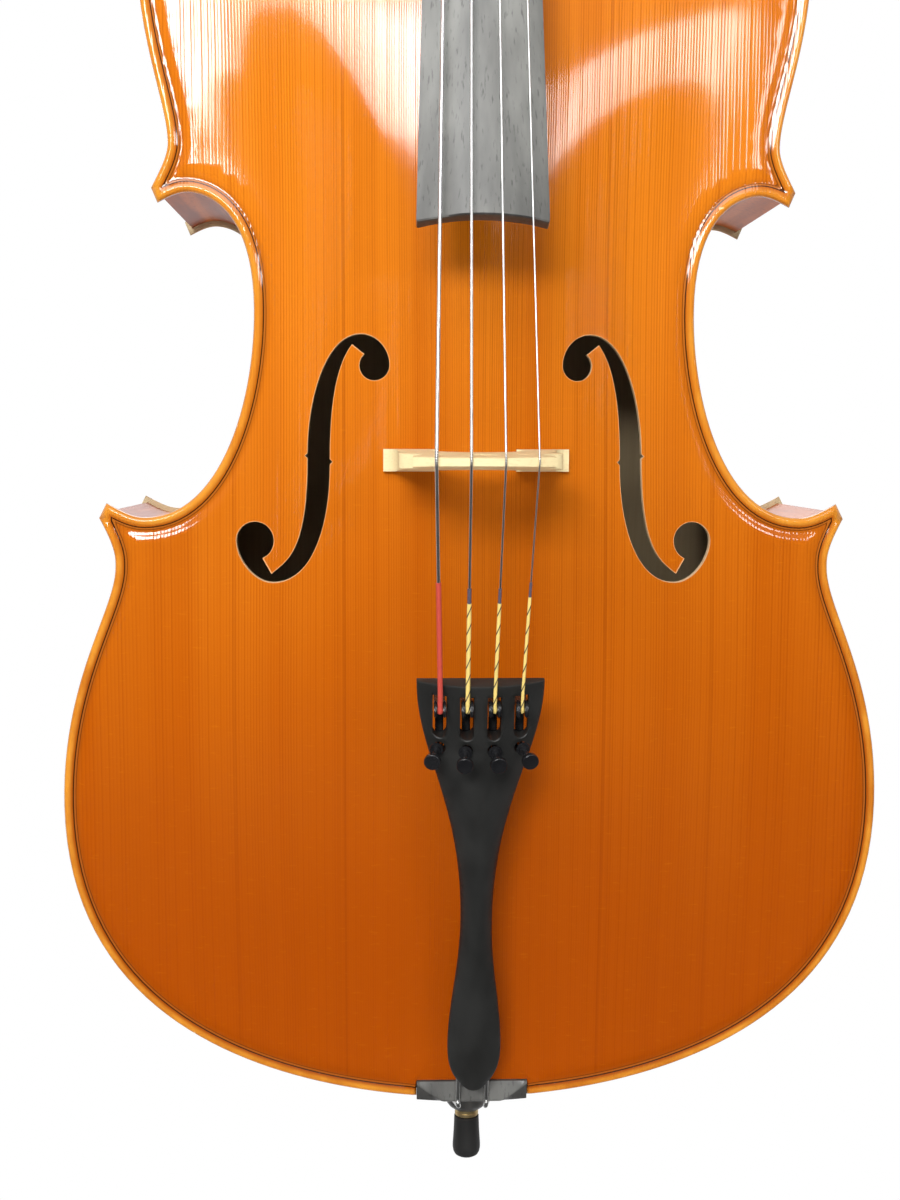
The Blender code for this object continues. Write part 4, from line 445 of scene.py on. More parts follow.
def spruce_varnish():
    mat, tone, x, y, z = finish("spruce_varnish", Specular_IOR_Level=0.45, Coat_Roughness=0.05,
                                Coat_Weight=0.12)
    across = abs(x)
    sway = (tone.noise(x * 9, 0.0, z * 2.4, 1) - 0.5) * 0.005
    rings = (across + sway) * 880 - (across * across) * 1050
    ring = rings.math("FRACT", rings)
    season = tone.node("TexWhiteNoise", {"noise_dimensions": "1D"}, {"W": rings.math("FLOOR", rings)})
    late = (ring ** 3.0) * (0.25 + 0.75 * season)
    broad = tone.noise(across * 55, 0.0, z * 0.5, 2)
    cloud = tone.noise(x * 7, y * 7, z * 4, 3)
    silk = tone.noise(x * 120, 0.0, z * 620, 2).step(0.60, 0.78)
    drift = across + sway * 0.3
    stripe = drift.line(0.0685, 0.0007) + 0.6 * drift.line(0.127, 0.0008)
    stripe = stripe + 0.35 * drift.line(0.0715, 0.0009)
    # Painted light: the varnish runs from deep orange low down to paler yellow-orange at the top, partly
    # its own tone and partly painted light falling from above.
    high = (z + (cloud - 0.5) * 0.16).step(0.12, 0.60)
    colour = high.mix((0.360, 0.061, 0.0004), (0.675, 0.190, 0.009))
    colour = (broad.step(0.35, 0.75) * 0.40).mix(colour, (0.38, 0.066, 0.0006))
    colour = (late * 0.62).mix(colour, (0.27, 0.036, 0.0004))
    colour = (stripe * 0.35).mix(colour, (0.25, 0.038, 0.001))
    colour = (silk * 0.07).mix(colour, (0.92, 0.34, 0.010))
    worn = 1 - tone.node("Attribute", {"attribute_name": "hole_distance"}, {}, 2).step(0.0001, 0.0004)
    colour = (worn * (0.35 + 0.5 * cloud)).mix(inlaid_edge(tone, x, y, z, colour), (0.80, 0.50, 0.24))
    paint(mat, colour, 0.060 + 0.055 * cloud + late * 0.03, late * -1.0 + broad * 0.6, 0.42, 0.0004)
    return mat


def bare_wood(name, light, dark):
    mat, tone, x, y, z = finish(name, Specular_IOR_Level=0.25)
    grain = tone.noise(x * 700, y * 60, z * 14, 3)
    cloud = tone.noise(x * 30, y * 30, z * 12, 3)
    colour = (grain * 0.6 + cloud * 0.3).mix(dark, light)
    paint(mat, colour, 0.62 + 0.2 * grain, grain, 0.2, 0.0002)
    return mat


def arc(centre, radius, start, end, steps):
    angles = np.radians(np.linspace(start, end, steps + 1))
    return np.stack((centre[0] + radius * np.cos(angles), centre[1] + radius * np.sin(angles)), axis=1)


def sound_hole():
    """Right-hand sound hole: round eyes, pointed wings, a slim stem and its two nicks."""
    upper_eye = arc((0.0525, 0.4002), 0.0078, 48, -180, 28)
    over = bezier(upper_eye[-1], UP, (0.0598, 0.4164), RIGHT, (0.009, 0.008), 12)
    outer = bezier((0.0598, 0.4164), RIGHT, (0.0877, 0.3550), -UP, (0.019, 0.026), 18)
    outer_nick = np.array([(0.0877, 0.3550), (0.0891, 0.3536), (0.0877, 0.3522)])
    outer_end = bezier((0.0877, 0.3522), -UP, (0.1070, 0.2917), math.radians(-41), (0.050, 0.010), 18)
    lower_eye = arc((0.1157, 0.3090), 0.0100, 247, 0, 28)
    under = bezier(lower_eye[-1], -UP, (0.1064, 0.2871), LEFT, (0.010, 0.010), 12)
    inner = bezier((0.1064, 0.2871), LEFT, (0.0759, 0.3491), UP, (0.020, 0.034), 18)
    inner_nick = np.array([(0.0759, 0.3491), (0.0745, 0.3505), (0.0759, 0.3519)])
    inner_end = bezier((0.0759, 0.3519), UP, (0.0641, 0.4111), math.radians(128), (0.036, 0.010), 18)
    return np.vstack([chain(upper_eye, over, outer, outer_nick, outer_end),
                      chain(lower_eye, under, inner, inner_nick, inner_end)])


SPRUCE = spruce_varnish()
BARE_SPRUCE = bare_wood("bare_spruce", (0.62, 0.46, 0.26), (0.42, 0.27, 0.13))
CUT_WOOD = bare_wood("cut_spruce", (0.88, 0.70, 0.46), (0.72, 0.46, 0.24))


def make_belly():
    half, deep = TENON_HALF + FIT_GAP, BODY_LENGTH - TENON_DEPTH - FIT_GAP
    loop = plate_loop(half, np.array([(half, deep), (-half, deep)]))
    side, top = SADDLE_HALF + FIT_GAP, SADDLE_DEPTH + FIT_GAP
    low = float(np.interp(side, *LOWER_CURVE[:LOWER_STEPS + 1].T))
    keep = loop[(np.abs(loop[:, 0]) > side) | (loop[:, 1] > BODY_LENGTH / 2)]
    loop = np.vstack([[(-side, low), (-side, top), (side, top), (side, low)], keep])
    right = sound_hole()
    make_plate("belly", loop, EDGE, [right, mirrored(right)], TOP_ARCH, TOP_THICK, FRONT, -1,
               [SPRUCE, BARE_SPRUCE, CUT_WOOD], "spruce_varnish", "top_plate")


make_belly()


# Back: two matched wedges of flamed maple with the same edge and inlay as the belly. The round button
# at its top carries the heel of the neck.
BACK_ARCH = 0.0255
BACK_THICK = 0.006
BUTTON_HALF = 0.0150
BUTTON_HEIGHT = 0.021


def maple_varnish(name, flame_x, flame_y, flame_z, gloss, slant=0.0, inlaid=False):
    """Flamed maple under red-brown varnish; the flames lie across the grain."""
    mat, tone, x, y, z = finish(name, Specular_IOR_Level=0.45 * gloss, Coat_Roughness=0.06,
                                Coat_Weight=0.12 * gloss)
    lean = z + slant * abs(x)
    flame = tone.noise(x * flame_x, y * flame_y, lean * flame_z, 2).step(0.36, 0.66)
    fleck = tone.noise(x * 420, y * 420, z * 60, 3)
    cloud = tone.noise(x * 9, y * 9, z * 6, 3)
    colour = flame.mix((0.30, 0.050, 0.003), (0.64, 0.165, 0.012))
    colour = (fleck.step(0.5, 0.75) * 0.35).mix(colour, (0.25, 0.042, 0.003))
    colour = (cloud.step(0.4, 0.75) * 0.3).mix(colour, (0.44, 0.085, 0.005))
    # The back's golden edge comes from the same code: partly wear, partly a painted highlight.
    if inlaid:
        colour = inlaid_edge(tone, x, y, z, colour)
    paint(mat, colour, 0.42 - 0.20 * gloss + 0.12 * cloud, flame * 0.5 + fleck * 0.3, 0.05, 0.0003)
    return mat


BACK_MAPLE = maple_varnish("back_maple", 7, 7, 105, 0.9, 0.28, True)
BARE_MAPLE = bare_wood("bare_maple", (0.58, 0.46, 0.28), (0.40, 0.29, 0.16))
BUTTON_CENTRE = (0, BODY_LENGTH + BUTTON_HEIGHT - BUTTON_HALF)
BACK_LOOP = plate_loop(BUTTON_HALF, arc(BUTTON_CENTRE, BUTTON_HALF, 0, 180, 24))
make_plate("back", BACK_LOOP, BACK_LOOP, [], BACK_ARCH, BACK_THICK, BACK, 1,
           [BACK_MAPLE, BARE_MAPLE], "maple_varnish", "back_plate")


# Ribs: six thin strips of flamed maple bent over a hot iron, glued between the plates and mitred at the
# corners. The two lower ones meet at the endpin.
OVERHANG = 0.003
RIB_THICK = 0.0013
PLUG_BORE = 0.0116
RIB_MAPLE = maple_varnish("rib_maple", 95, 5, 95, 0.6)


def lengths(curve):
    return np.concatenate(([0], np.cumsum(np.hypot(*np.diff(curve, axis=0).T))))


def portion(curve, start, end):
    along = lengths(curve)
    keep = curve[(along > start + 1e-4) & (along < end - 1e-4)]
    ends = [[np.interp(s, along, curve[:, k]) for k in (0, 1)] for s in (start, end)]
    return np.vstack([ends[0], keep, ends[1]])


def skin(rings, caps=True, loop=False):
    """Skin a row of closed rings of equal count."""
    count = len(rings[0])
    spots = [p for ring in rings for p in ring]
    faces = []
    for k in range(len(rings) - (0 if loop else 1)):
        low, high = k * count, ((k + 1) % len(rings)) * count
        for i in range(count):
            ahead = (i + 1) % count
            faces.append([low + i, low + ahead, high + ahead, high + i])
    if caps:
        faces += [list(range(count)), list(range(len(spots) - count, len(spots)))]
    return spots, faces


def make_rib(name, curve, start, end, flip):
    shape = portion(curve, start, end)
    outer, inner = inset(shape, OVERHANG), inset(shape, OVERHANG + RIB_THICK)
    if flip:
        outer, inner = mirrored(outer), mirrored(inner)
    rings = [[(a[0], FRONT, a[1]), (a[0], BACK, a[1]), (b[0], BACK, b[1]), (b[0], FRONT, b[1])]
             for a, b in zip(outer, inner)]
    piece(f"{name}_bent", *skin(rings), RIB_MAPLE, "cello_body", "maple_varnish", name)


LOWER_END, WAIST_END = (lengths(curve)[-1] - OVERHANG for curve in (LOWER_CURVE, WAIST_CURVE))
UPPER_END = float(np.interp(TENON_HALF + GLUE_GAP, UPPER_CURVE[::-1, 0], lengths(UPPER_CURVE)[::-1]))
for side in ("left", "right"):
    make_rib(f"rib_lower_{side}", LOWER_CURVE, PLUG_BORE, LOWER_END, side == "left")
    make_rib(f"rib_waist_{side}", WAIST_CURVE, OVERHANG, WAIST_END, side == "left")
    make_rib(f"rib_upper_{side}", UPPER_CURVE, OVERHANG, UPPER_END, side == "left")


# Inside: blocks, linings, sound post and bass bar, all bare spruce, seen only through the sound holes.
# All but the bar keep their CAD solids; the bar is planed round below and clear of the hole's eye.
BAR_SIDES = (-0.0437, -0.0365)
BAR_ENDS = (0.0850, 0.6650)
BAR_HEIGHTS = (0.006, 0.024)
for name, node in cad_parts.items():
    if name.startswith(("lining", "corner_block")) or name in ("end_block", "neck_block", "sound_post"):
        node.data.materials.clear()
        node.data.materials.append(BARE_SPRUCE)


def between(ends, share):
    return ends[0] + share * (ends[1] - ends[0])


def bar_ring(share):
    """Section of the bass bar: two corners glued to the belly, and a round lower edge."""
    z = between(BAR_ENDS, share)
    tall = between(BAR_HEIGHTS, math.sin(math.pi * share))
    rows = np.array([(x, z) for x in BAR_SIDES])
    height = plate_height(rows, TOP_ARCH, edge_distance(rows, EDGE))
    glued = FRONT - GLUE_GAP + FIT_GAP + TOP_THICK - height
    half, middle = (BAR_SIDES[1] - BAR_SIDES[0]) / 2, sum(BAR_SIDES) / 2
    low = glued.mean() + tall - half
    corners = [(x, y, z) for x, y in zip(BAR_SIDES, glued)]
    return corners + [(middle + half * math.cos(a), low + half * math.sin(a), z)
                      for a in np.radians(np.linspace(0, 180, 9))]


piece("bass_bar_planed", *skin([bar_ring(share) for share in np.linspace(0, 1, 25)]), BARE_SPRUCE,
      "cello_body", "bare_spruce", "bass_bar")


# Fingerboard: one long slip of ebony glued to the neck, round across, flat under the thickest string
# and hollowed below where it stands free. Playing has rubbed it grey.
NECK_LENGTH = 0.280
NECK_STAND = 0.021
NUT_Z = BODY_LENGTH + NECK_LENGTH
GLUE_Y = FRONT - EDGE_THICK - NECK_STAND
BOARD_SLOPE = 0.15857
BOARD_LENGTH = 0.580
BOARD_END_Z = NUT_Z - BOARD_LENGTH * math.cos(math.atan(BOARD_SLOPE))
BOARD_HALF = (0.0316, 0.0160)
BOARD_EDGE = 0.0065
BOARD_RADIUS = 0.065
BOARD_FLAT_SHARE = 0.36
BOARD_HOLLOW = 0.0085
BOARD_HOLLOW_RUN = 0.060
BOARD_CUT = 0.30
BOARD_CUT_FROM = 0.0015
BOARD_CUT_RUN = 0.02
BOARD_ROUNDING = ((0.0, 0.0009), (0.0003, 0.0004), (0.0010, 0.0001))
BOARD_FIRST = 0.004
BARE_NORMAL = 0.4


def ebony(name, worn, rough, streak=0.5):
    """Ebony: nearly black, with brown-grey pores along the grain, rubbed paler where it is touched."""
    mat, tone, x, y, z = finish(name, Specular_IOR_Level=0.5)
    pore = tone.noise(x * 900, y * 900, z * 18, 3)
    vein = tone.noise(x * 150, y * 150, z * 3, 3)
    rub = tone.noise(x * 40, y * 40, z * 9, 4)
    colour = (vein.step(0.35, 0.75) * streak).mix((0.016, 0.015, 0.015), (0.060, 0.055, 0.050))
    colour = (0.3 * worn + rub.step(0.35, 0.8) * (0.7 * worn)).mix(colour, (0.27, 0.27, 0.25))
    colour = (pore.step(0.58, 0.72) * 0.5).mix(colour, (0.012, 0.010, 0.009))
    paint(mat, colour, rough + 0.14 * rub + 0.06 * pore, pore, 0.12, 0.0002)
    return mat


BOARD_EBONY = ebony("board_ebony", 1.0, 0.36)
EBONY = ebony("ebony", 0.22, 0.28)


def glue_y(z):
    return GLUE_Y + (z - BODY_LENGTH) * BOARD_SLOPE


def board_half(z):
    return BOARD_HALF[1] + (NUT_Z - z) / (NUT_Z - BOARD_END_Z) * (BOARD_HALF[0] - BOARD_HALF[1])


def crown(half):
    return BOARD_EDGE + BOARD_RADIUS - math.sqrt(BOARD_RADIUS ** 2 - half ** 2)


def fall(x):
    """How far the round face of the board lies at x below its crown."""
    return BOARD_RADIUS - math.sqrt(BOARD_RADIUS ** 2 - x ** 2)


def board_ring(z, shave):
    """Section of the fingerboard; shave rounds it off towards its free end, which is cut at a slant."""
    half = board_half(z) - shave
    base = glue_y(z) - GLUE_GAP
    ridge = -half * BOARD_FLAT_SHARE

    def top(x):
        return crown(half) - fall(x) - shave
    xs = [ridge + (half - ridge) * k / 24 for k in range(25)]
    flat = [(-half + (ridge + half) * k / 4, top(-half) + (top(ridge) - top(-half)) * k / 4)
            for k in range(4)]
    upper = [(x, base - h, z) for x, h in flat + [(x, top(x)) for x in xs]]
    free = min(1.0, max(0.0, (BODY_LENGTH - TENON_DEPTH - z) / BOARD_HOLLOW_RUN))
    lower = [(half * s, base - BOARD_HOLLOW * free * (1 - s ** 2) + shave * 0.2, z)
             for s in np.linspace(1, -1, 13)]
    slant = BOARD_CUT * max(0.0, 1 - (z - BOARD_END_Z) / BOARD_CUT_RUN)
    return [(x, y, z + slant * (base - y - BOARD_CUT_FROM)) for x, y, z in upper + lower]


rows = [(BOARD_END_Z + rise, shave) for rise, shave in BOARD_ROUNDING]
rows += [(z, 0.0) for z in np.linspace(BOARD_END_Z + BOARD_FIRST, NUT_Z - GLUE_GAP, 30)]
board = piece("fingerboard_dressed", *skin([board_ring(*row) for row in rows]), [BOARD_EBONY, EBONY],
              "cello_body", "ebony", "fingerboard", angle=25)
for side in board.data.polygons:
    side.material_index = int(side.normal.z < -BARE_NORMAL or side.normal.y > BARE_NORMAL)


# Nut: a small block of ebony glued across the head of the fingerboard, with a groove filed for each
# string.
STRING_NAMES = ("c", "g", "d", "a")
STRING_RADII = (0.00088, 0.00068, 0.00050, 0.00038)
NUT_SPACING = 0.0075
NUT_LENGTH = 0.008
NUT_RAISE = 0.0012
NUT_RIDGE = (0.0007, 0.0006)
NUT_STATIONS = ((0, NUT_RAISE - 0.0003), (0.06, NUT_RAISE), (0.5, NUT_RAISE), (0.7, 0.0004),
                (0.88, -0.0014), (1, -0.003))


def string_x(index, spacing):
    """Place of a string across the instrument, where the strings lie spacing apart."""
    return (index - 1.5) * spacing


def nut_ring(share, raise_by):
    z = NUT_Z + share * NUT_LENGTH
    base = glue_y(z) - GLUE_GAP
    ring = []
    for x in np.linspace(-BOARD_HALF[1], BOARD_HALF[1], 97):
        height = crown(BOARD_HALF[1]) + raise_by - fall(x)
        away = min(abs(x - string_x(k, NUT_SPACING)) - r for k, r in enumerate(STRING_RADII))
        height += NUT_RIDGE[0] * min(1.0, max(0.0, away / NUT_RIDGE[1])) * (raise_by > 0)
        ring.append((x, base - height, z))
    return ring + [(BOARD_HALF[1], base, z), (-BOARD_HALF[1], base, z)]


piece("nut_dressed", *skin([nut_ring(*s) for s in NUT_STATIONS]), EBONY, "cello_body", "ebony", "nut")


# Neck: one piece of maple with heel, handle, pegbox and a scroll of two turns, its back carved with two
# flutes. It is glued into the upper block and against the button.
NECK_HALF = (0.0205, 0.0155)
NECK_DEPTH = (0.0205, 0.0175)
NECK_SEAM = 0.0001
SHOULDER_STEP = 0.0008
HEEL_RISE = 0.066
HEEL_ROUND = 0.7
PEGBOX_Z = NUT_Z + NUT_LENGTH
PEGBOX_LENGTH = 0.158
PEGBOX_LEAN = math.radians(17)
PEGBOX_HALF = (0.0215, 0.0150)
PEGBOX_DEPTH = (0.033, 0.024)
PEGBOX_WALL = (0.0080, 0.0062)
PEGBOX_FLOOR = 0.0068
PEGBOX_CORNER = 0.0024
PEGBOX_EASE = 0.0008
PEGBOX_CHIN = 0.016
CHIN_STEP = 0.0012
TROUGH = (0.03, 0.86)
TROUGH_CORNER = 0.0020
FLUTE = 0.0016
FLUTE_POINTS = np.linspace(1, -1, 17)[1:-1]
SCROLL_RADIUS = 0.0335
SCROLL_EYE = 0.0090
SCROLL_OVERLAP = 0.008
SCROLL_STEPS = 44
SCROLL_SHARES = (0, 0.06, 0.2, 0.4, 0.6, 0.8, 1)
SCROLL_HOLLOW = 0.0014
SCROLL_SEAT = 0.0003
SCROLL_HALF_EYE = 0.0310
EYE_DOME = (0.55, 0.0012)
STRING_PEGS = ((0.034, -1), (0.089, -1), (0.112, 1), (0.057, 1))
PEG_RADIUS = 0.0062
PEG_TAPER = 50
PEG_DEPTH_IN = 0.0105
TURN_GAP = 0.0004
BORE_REACH = 0.032
NECK_MAPLE = maple_varnish("neck_maple", 14, 14, 120, 0.0)


def neck_ring(z, half, back_y, end_half, power=1.0):
    """Section of the neck: flat under the fingerboard, round or blunt at the back."""
    front = glue_y(z)
    right = []
    for angle in np.radians(np.linspace(0, 90, 13)):
        x = end_half + (half - end_half) * math.cos(angle) ** power
        right.append((x, front + (back_y - front) * math.sin(angle) ** power, z))
    return right + [(-x, y, z) for x, y, z in reversed(right)]


def neck_shaft():
    """Root, heel and handle, section by section up the neck."""
    root, shoulder = BACK - GLUE_GAP, BODY_LENGTH + GLUE_GAP
    rings = [neck_ring(z, TENON_HALF, root, TENON_HALF - NECK_SEAM, 0.2)
             for z in (BODY_LENGTH - TENON_DEPTH, shoulder)]
    for share in np.linspace(0, 0.97, 9):
        rise = share * BUTTON_HEIGHT
        over = max(0.0, rise - BUTTON_HEIGHT + BUTTON_HALF)
        end = math.sqrt(BUTTON_HALF ** 2 - over ** 2)
        rings.append(neck_ring(shoulder + SHOULDER_STEP + rise, NECK_HALF[0], root, end, HEEL_ROUND))
    for share in np.linspace(0.02, 1, 24) ** 1.6:
        z = BODY_LENGTH + BUTTON_HEIGHT + SHOULDER_STEP + share * (HEEL_RISE - BUTTON_HEIGHT)
        handle = glue_y(z) + NECK_DEPTH[0]
        back_y = handle + (root - handle) * (1 - share) ** 4
        power = HEEL_ROUND + (1 - HEEL_ROUND) * share
        rings.append(neck_ring(z, NECK_HALF[0], back_y, NECK_SEAM, power))
    top = BODY_LENGTH + HEEL_RISE + SHOULDER_STEP
    for share in np.linspace(0, 1, 9)[1:]:
        z = top + share * (PEGBOX_Z - top)
        back_y = glue_y(z) + between(NECK_DEPTH, share)
        rings.append(neck_ring(z, between(NECK_HALF, share), back_y, NECK_SEAM))
    return skin(rings)


def pegbox_front(z):
    return glue_y(PEGBOX_Z) + (z - PEGBOX_Z) * math.tan(PEGBOX_LEAN)


def box_ring(z, half, front, back, flute):
    """Section of the pegbox: eased front edges, round rear corners and two flutes down the back."""
    bend = [(half - PEGBOX_CORNER * (1 - math.cos(a)), back - PEGBOX_CORNER * (1 - math.sin(a)))
            for a in np.radians((0, 30, 60, 90))]
    wide = half - PEGBOX_CORNER
    groove = [(wide * t, back - flute * math.sin(math.pi * abs(t))) for t in FLUTE_POINTS]
    right = [(half - PEGBOX_EASE, front), (half, front + PEGBOX_EASE)] + bend
    return [(x, y, z) for x, y in right + groove + [(-x, y) for x, y in reversed(right)]]


def pegbox_solid():
    rings = []
    for angle in np.radians((0, 15, 30, 45, 60, 75)):
        z = PEGBOX_Z - PEGBOX_CHIN * math.cos(angle)
        half = between((NECK_HALF[1] - CHIN_STEP, PEGBOX_HALF[0]), math.sin(angle))
        depth = between((NECK_DEPTH[1] - CHIN_STEP, PEGBOX_DEPTH[0]), math.sin(angle))
        rings.append(box_ring(z, half, glue_y(z) + GLUE_GAP, glue_y(z) + depth, 0.0))
    top = PEGBOX_Z + PEGBOX_LENGTH
    for z in (*np.linspace(PEGBOX_Z, top - SCROLL_OVERLAP, 14), top):
        share = (z - PEGBOX_Z) / PEGBOX_LENGTH
        front = pegbox_front(z)
        back = front + between(PEGBOX_DEPTH, share) - (0.004 if z == top else 0)
        flute = FLUTE * float(blend(share, 0.05, 0.5))
        rings.append(box_ring(z, between(PEGBOX_HALF, share), front, back, flute))
    return skin(rings)


def trough_solid():
    rings = []
    for share in np.linspace(*TROUGH, 5):
        z = PEGBOX_Z + share * PEGBOX_LENGTH
        half = between(PEGBOX_HALF, share) - between(PEGBOX_WALL, share)
        front = pegbox_front(z)
        floor = front + between(PEGBOX_DEPTH, share) - PEGBOX_FLOOR
        right = [(half, front - 0.01), (half, floor - TROUGH_CORNER), (half - TROUGH_CORNER, floor)]
        rings.append([(x, y, z) for x, y in right + [(-x, y) for x, y in reversed(right)]])
    return skin(rings)


def scroll_solid():
    """Volute: each turn is smaller and stands further out than the last; sides hollow, back fluted."""
    steps, total = SCROLL_STEPS, 2 * SCROLL_STEPS
    shrink = math.log(SCROLL_RADIUS / SCROLL_EYE) / total
    foot_z = PEGBOX_Z + PEGBOX_LENGTH - SCROLL_OVERLAP
    share = 1 - SCROLL_OVERLAP / PEGBOX_LENGTH
    rear = pegbox_front(foot_z) + between(PEGBOX_DEPTH, share) - SCROLL_SEAT
    lean = math.atan(math.tan(PEGBOX_LEAN) + (PEGBOX_DEPTH[1] - PEGBOX_DEPTH[0]) / PEGBOX_LENGTH)
    start = -lean - math.atan(shrink * steps / (2 * math.pi))
    centre = (rear - SCROLL_RADIUS * math.cos(start), foot_z - SCROLL_RADIUS * math.sin(start))
    half_start = between(PEGBOX_HALF, share) - SCROLL_SEAT
    spots, faces = [], []

    def radius(i):
        return SCROLL_RADIUS * math.exp(-shrink * min(i, total))

    def half(i):
        return half_start + (SCROLL_HALF_EYE - half_start) * (i / total) ** 1.6

    def spot(i, r, x):
        angle = start + 2 * math.pi * i / steps
        spots.append((x, centre[0] + r * math.cos(angle), centre[1] + r * math.sin(angle)))
        return len(spots) - 1

    def strip(a, b):
        faces.extend([a[k], b[k], b[k + 1], a[k + 1]] for k in range(len(a) - 1))

    flank = {}
    for side in (1, -1):
        for i in range(total + 1):
            hollow = SCROLL_HOLLOW * min(1.0, (total - i) / steps)
            flank[side, i] = [spot(i, between((radius(i), radius(i + steps)), s),
                                   side * (half(i) - hollow * math.sin(math.pi * s)))
                              for s in SCROLL_SHARES]
        for i in range(total):
            strip(flank[side, i], flank[side, i + 1])
        for i in range(steps, total):
            a, b = flank[side, i - steps], flank[side, i - steps + 1]
            faces.append([a[-1], b[-1], flank[side, i + 1][0], flank[side, i][0]])
        eye, dome = ([spot(i, radius(total) * size, side * (half(total) + rise))
                      for i in range(total - steps, total + 1)] for size, rise in ((1, 0), EYE_DOME))
        for k in range(steps):
            a, b = flank[side, total - steps + k], flank[side, total - steps + k + 1]
            faces.append([a[-1], b[-1], eye[k + 1], eye[k]])
            faces.append([eye[k], eye[k + 1], dome[k + 1], dome[k]])
        faces.append(dome[:-1])
    rows = []
    for i in range(steps):
        depth = FLUTE * min(1.0, (steps - 1 - i) / (0.3 * steps))
        middle = [spot(i, radius(i) - depth * math.sin(math.pi * abs(t)), half(i) * t)
                  for t in FLUTE_POINTS]
        rows.append([flank[1, i][0]] + middle + [flank[-1, i][0]])
    for a, b in zip(rows, rows[1:]):
        strip(a, b)
    inner, last = (flank[1, 0][-1], flank[-1, 0][-1]), (flank[1, steps][0], flank[-1, steps][0])
    faces.append(rows[-1][::-1] + [last[0], inner[0], inner[1], last[1]])
    faces.append(rows[0] + flank[-1, 0][1:] + flank[1, 0][1:][::-1])
    return spots, faces


def weld(bm):
    bmesh.ops.remove_doubles(bm, verts=bm.verts, dist=1e-6)
    bmesh.ops.dissolve_degenerate(bm, edges=bm.edges, dist=1e-7)
    bmesh.ops.recalc_face_normals(bm, faces=bm.faces)


def rough_solid(spots, faces):
    return placed("rough_solid", worked_mesh("rough_solid", spots, faces, weld))


def shaped(first, tools):
    """Add or cut away other solids from the first; gives back its points and faces."""
    base = rough_solid(*first)
    others = [base]
    for kind, solid in tools:
        step = base.modifiers.new("step", "BOOLEAN")
        step.operation, step.solver, step.object = kind, "EXACT", rough_solid(*solid)
        others.append(step.object)
    bpy.context.view_layer.update()
    done = base.evaluated_get(bpy.context.evaluated_depsgraph_get()).to_mesh()
    made = [tuple(v.co) for v in done.vertices], [list(p.vertices) for p in done.polygons]
    for obj in others:
        mesh = obj.data
        bpy.data.objects.remove(obj)
        bpy.data.meshes.remove(mesh)
    return made


def peg_spot(index):
    z = PEGBOX_Z + STRING_PEGS[index][0]
    return Vector((0, pegbox_front(z) + PEG_DEPTH_IN, z))


def peg_radius(x):
    return PEG_RADIUS + x / PEG_TAPER


def peg_wall(index):
    """Half the width of the pegbox where a peg goes through it."""
    return between(PEGBOX_HALF, STRING_PEGS[index][0] / PEGBOX_LENGTH)


def around(sides):
    return np.linspace(0, 2 * math.pi, sides, endpoint=False)


def peg_bore(index):
    spot, side = peg_spot(index), STRING_PEGS[index][1]
    return skin([[(x, spot.y + (peg_radius(side * x) + TURN_GAP) * math.cos(a),
                   spot.z + (peg_radius(side * x) + TURN_GAP) * math.sin(a)) for a in around(40)]
                 for x in (-BORE_REACH, BORE_REACH)])


neck_tools = [("UNION", pegbox_solid()), ("UNION", scroll_solid()), ("DIFFERENCE", trough_solid())]
neck_tools += [("DIFFERENCE", peg_bore(number)) for number in range(4)]
piece("neck_carved", *shaped(neck_shaft(), neck_tools), NECK_MAPLE, "cello_body", "maple_varnish",
      "neck", angle=38)


# Pegs: four tapered ebony pegs turned with a collar and a flat oval head with a small button, pushed
# into the pegbox.
PEG_COLLAR = ((0, 0.0086), (0.0006, 0.0095), (0.0011, 0.0090), (0.0016, 0.0095), (0.0024, 0.0093),
              (0.0030, 0.0082), (0.0044, 0.0056), (0.0058, 0.0046), (0.007, 0.0045))
PEG_HEAD = (0.034, 0.0150, 0.0075)
PEG_HEAD_SHARES = (0.05, 0.1, 0.17, 0.25, 0.35, 0.45, 0.55, 0.65, 0.75, 0.84, 0.91, 0.96)
PEG_BUTTON = ((-0.0010, 0.0026, 0.9), (-0.0006, 0.0022, 1), (-0.0002, 0.0020, 1), (0, 0.0012, 1),
              (0, 0.0001, 1))
PEG_EBONY = ebony("peg_ebony", 0.03, 0.30, 0.35)


def make_peg(index):
    spot, side = peg_spot(index), STRING_PEGS[index][1]
    far, collar = -peg_wall(index) - 0.002, peg_wall(index) + 0.004
    neck = collar + PEG_COLLAR[-1][0]
    stations = [(far, 0.0004, 1), (far, peg_radius(far) - 0.0008, 1), (far + 0.0008, peg_radius(far), 1),
                (collar - 0.0002, peg_radius(collar), 1)]
    stations += [(collar + rise, r, 1) for rise, r in PEG_COLLAR]
    for share in PEG_HEAD_SHARES:
        width = PEG_HEAD[1] * math.sqrt(1 - (2 * share - 1) ** 2) + 0.002
        edge = PEG_HEAD[2] / 2 / width
        stations.append((neck + share * PEG_HEAD[0], width, min(1, edge)))
    end = neck + PEG_HEAD[0]
    stations += [(end + rise, r, squash) for rise, r, squash in PEG_BUTTON]
    rings = [[(side * x, spot.y + r * squash * math.cos(a), spot.z + r * math.sin(a))
              for a in around(36)] for x, r, squash in stations]
    name = STRING_NAMES[index]
    piece(f"peg_{name}_turned", *skin(rings), PEG_EBONY, f"peg_{name}", "ebony", f"peg_{name}", angle=50)


for number in range(4):
    make_peg(number)


# Bridge: one tapered blade of pale maple with two legs, waist, wings and a heart, standing loose on
# the belly under the strings.
BRIDGE_Z = 0.3515
BRIDGE_HEIGHT = 0.0885
BRIDGE_TOP_RADIUS = 0.064
BRIDGE_TOP_HALF = 0.0335
BRIDGE_TOP_Y = FRONT - TOP_ARCH - BRIDGE_HEIGHT
BRIDGE_FOOT = (0.0205, 0.0479)
BRIDGE_SEAT = 0.0028
BRIDGE_BLADE = (0.0115, 0.0042)
BRIDGE_EASE = (0.0006, 0.0004)
BRIDGE_GRID = 0.004
BRIDGE_CLEAR = 0.0015


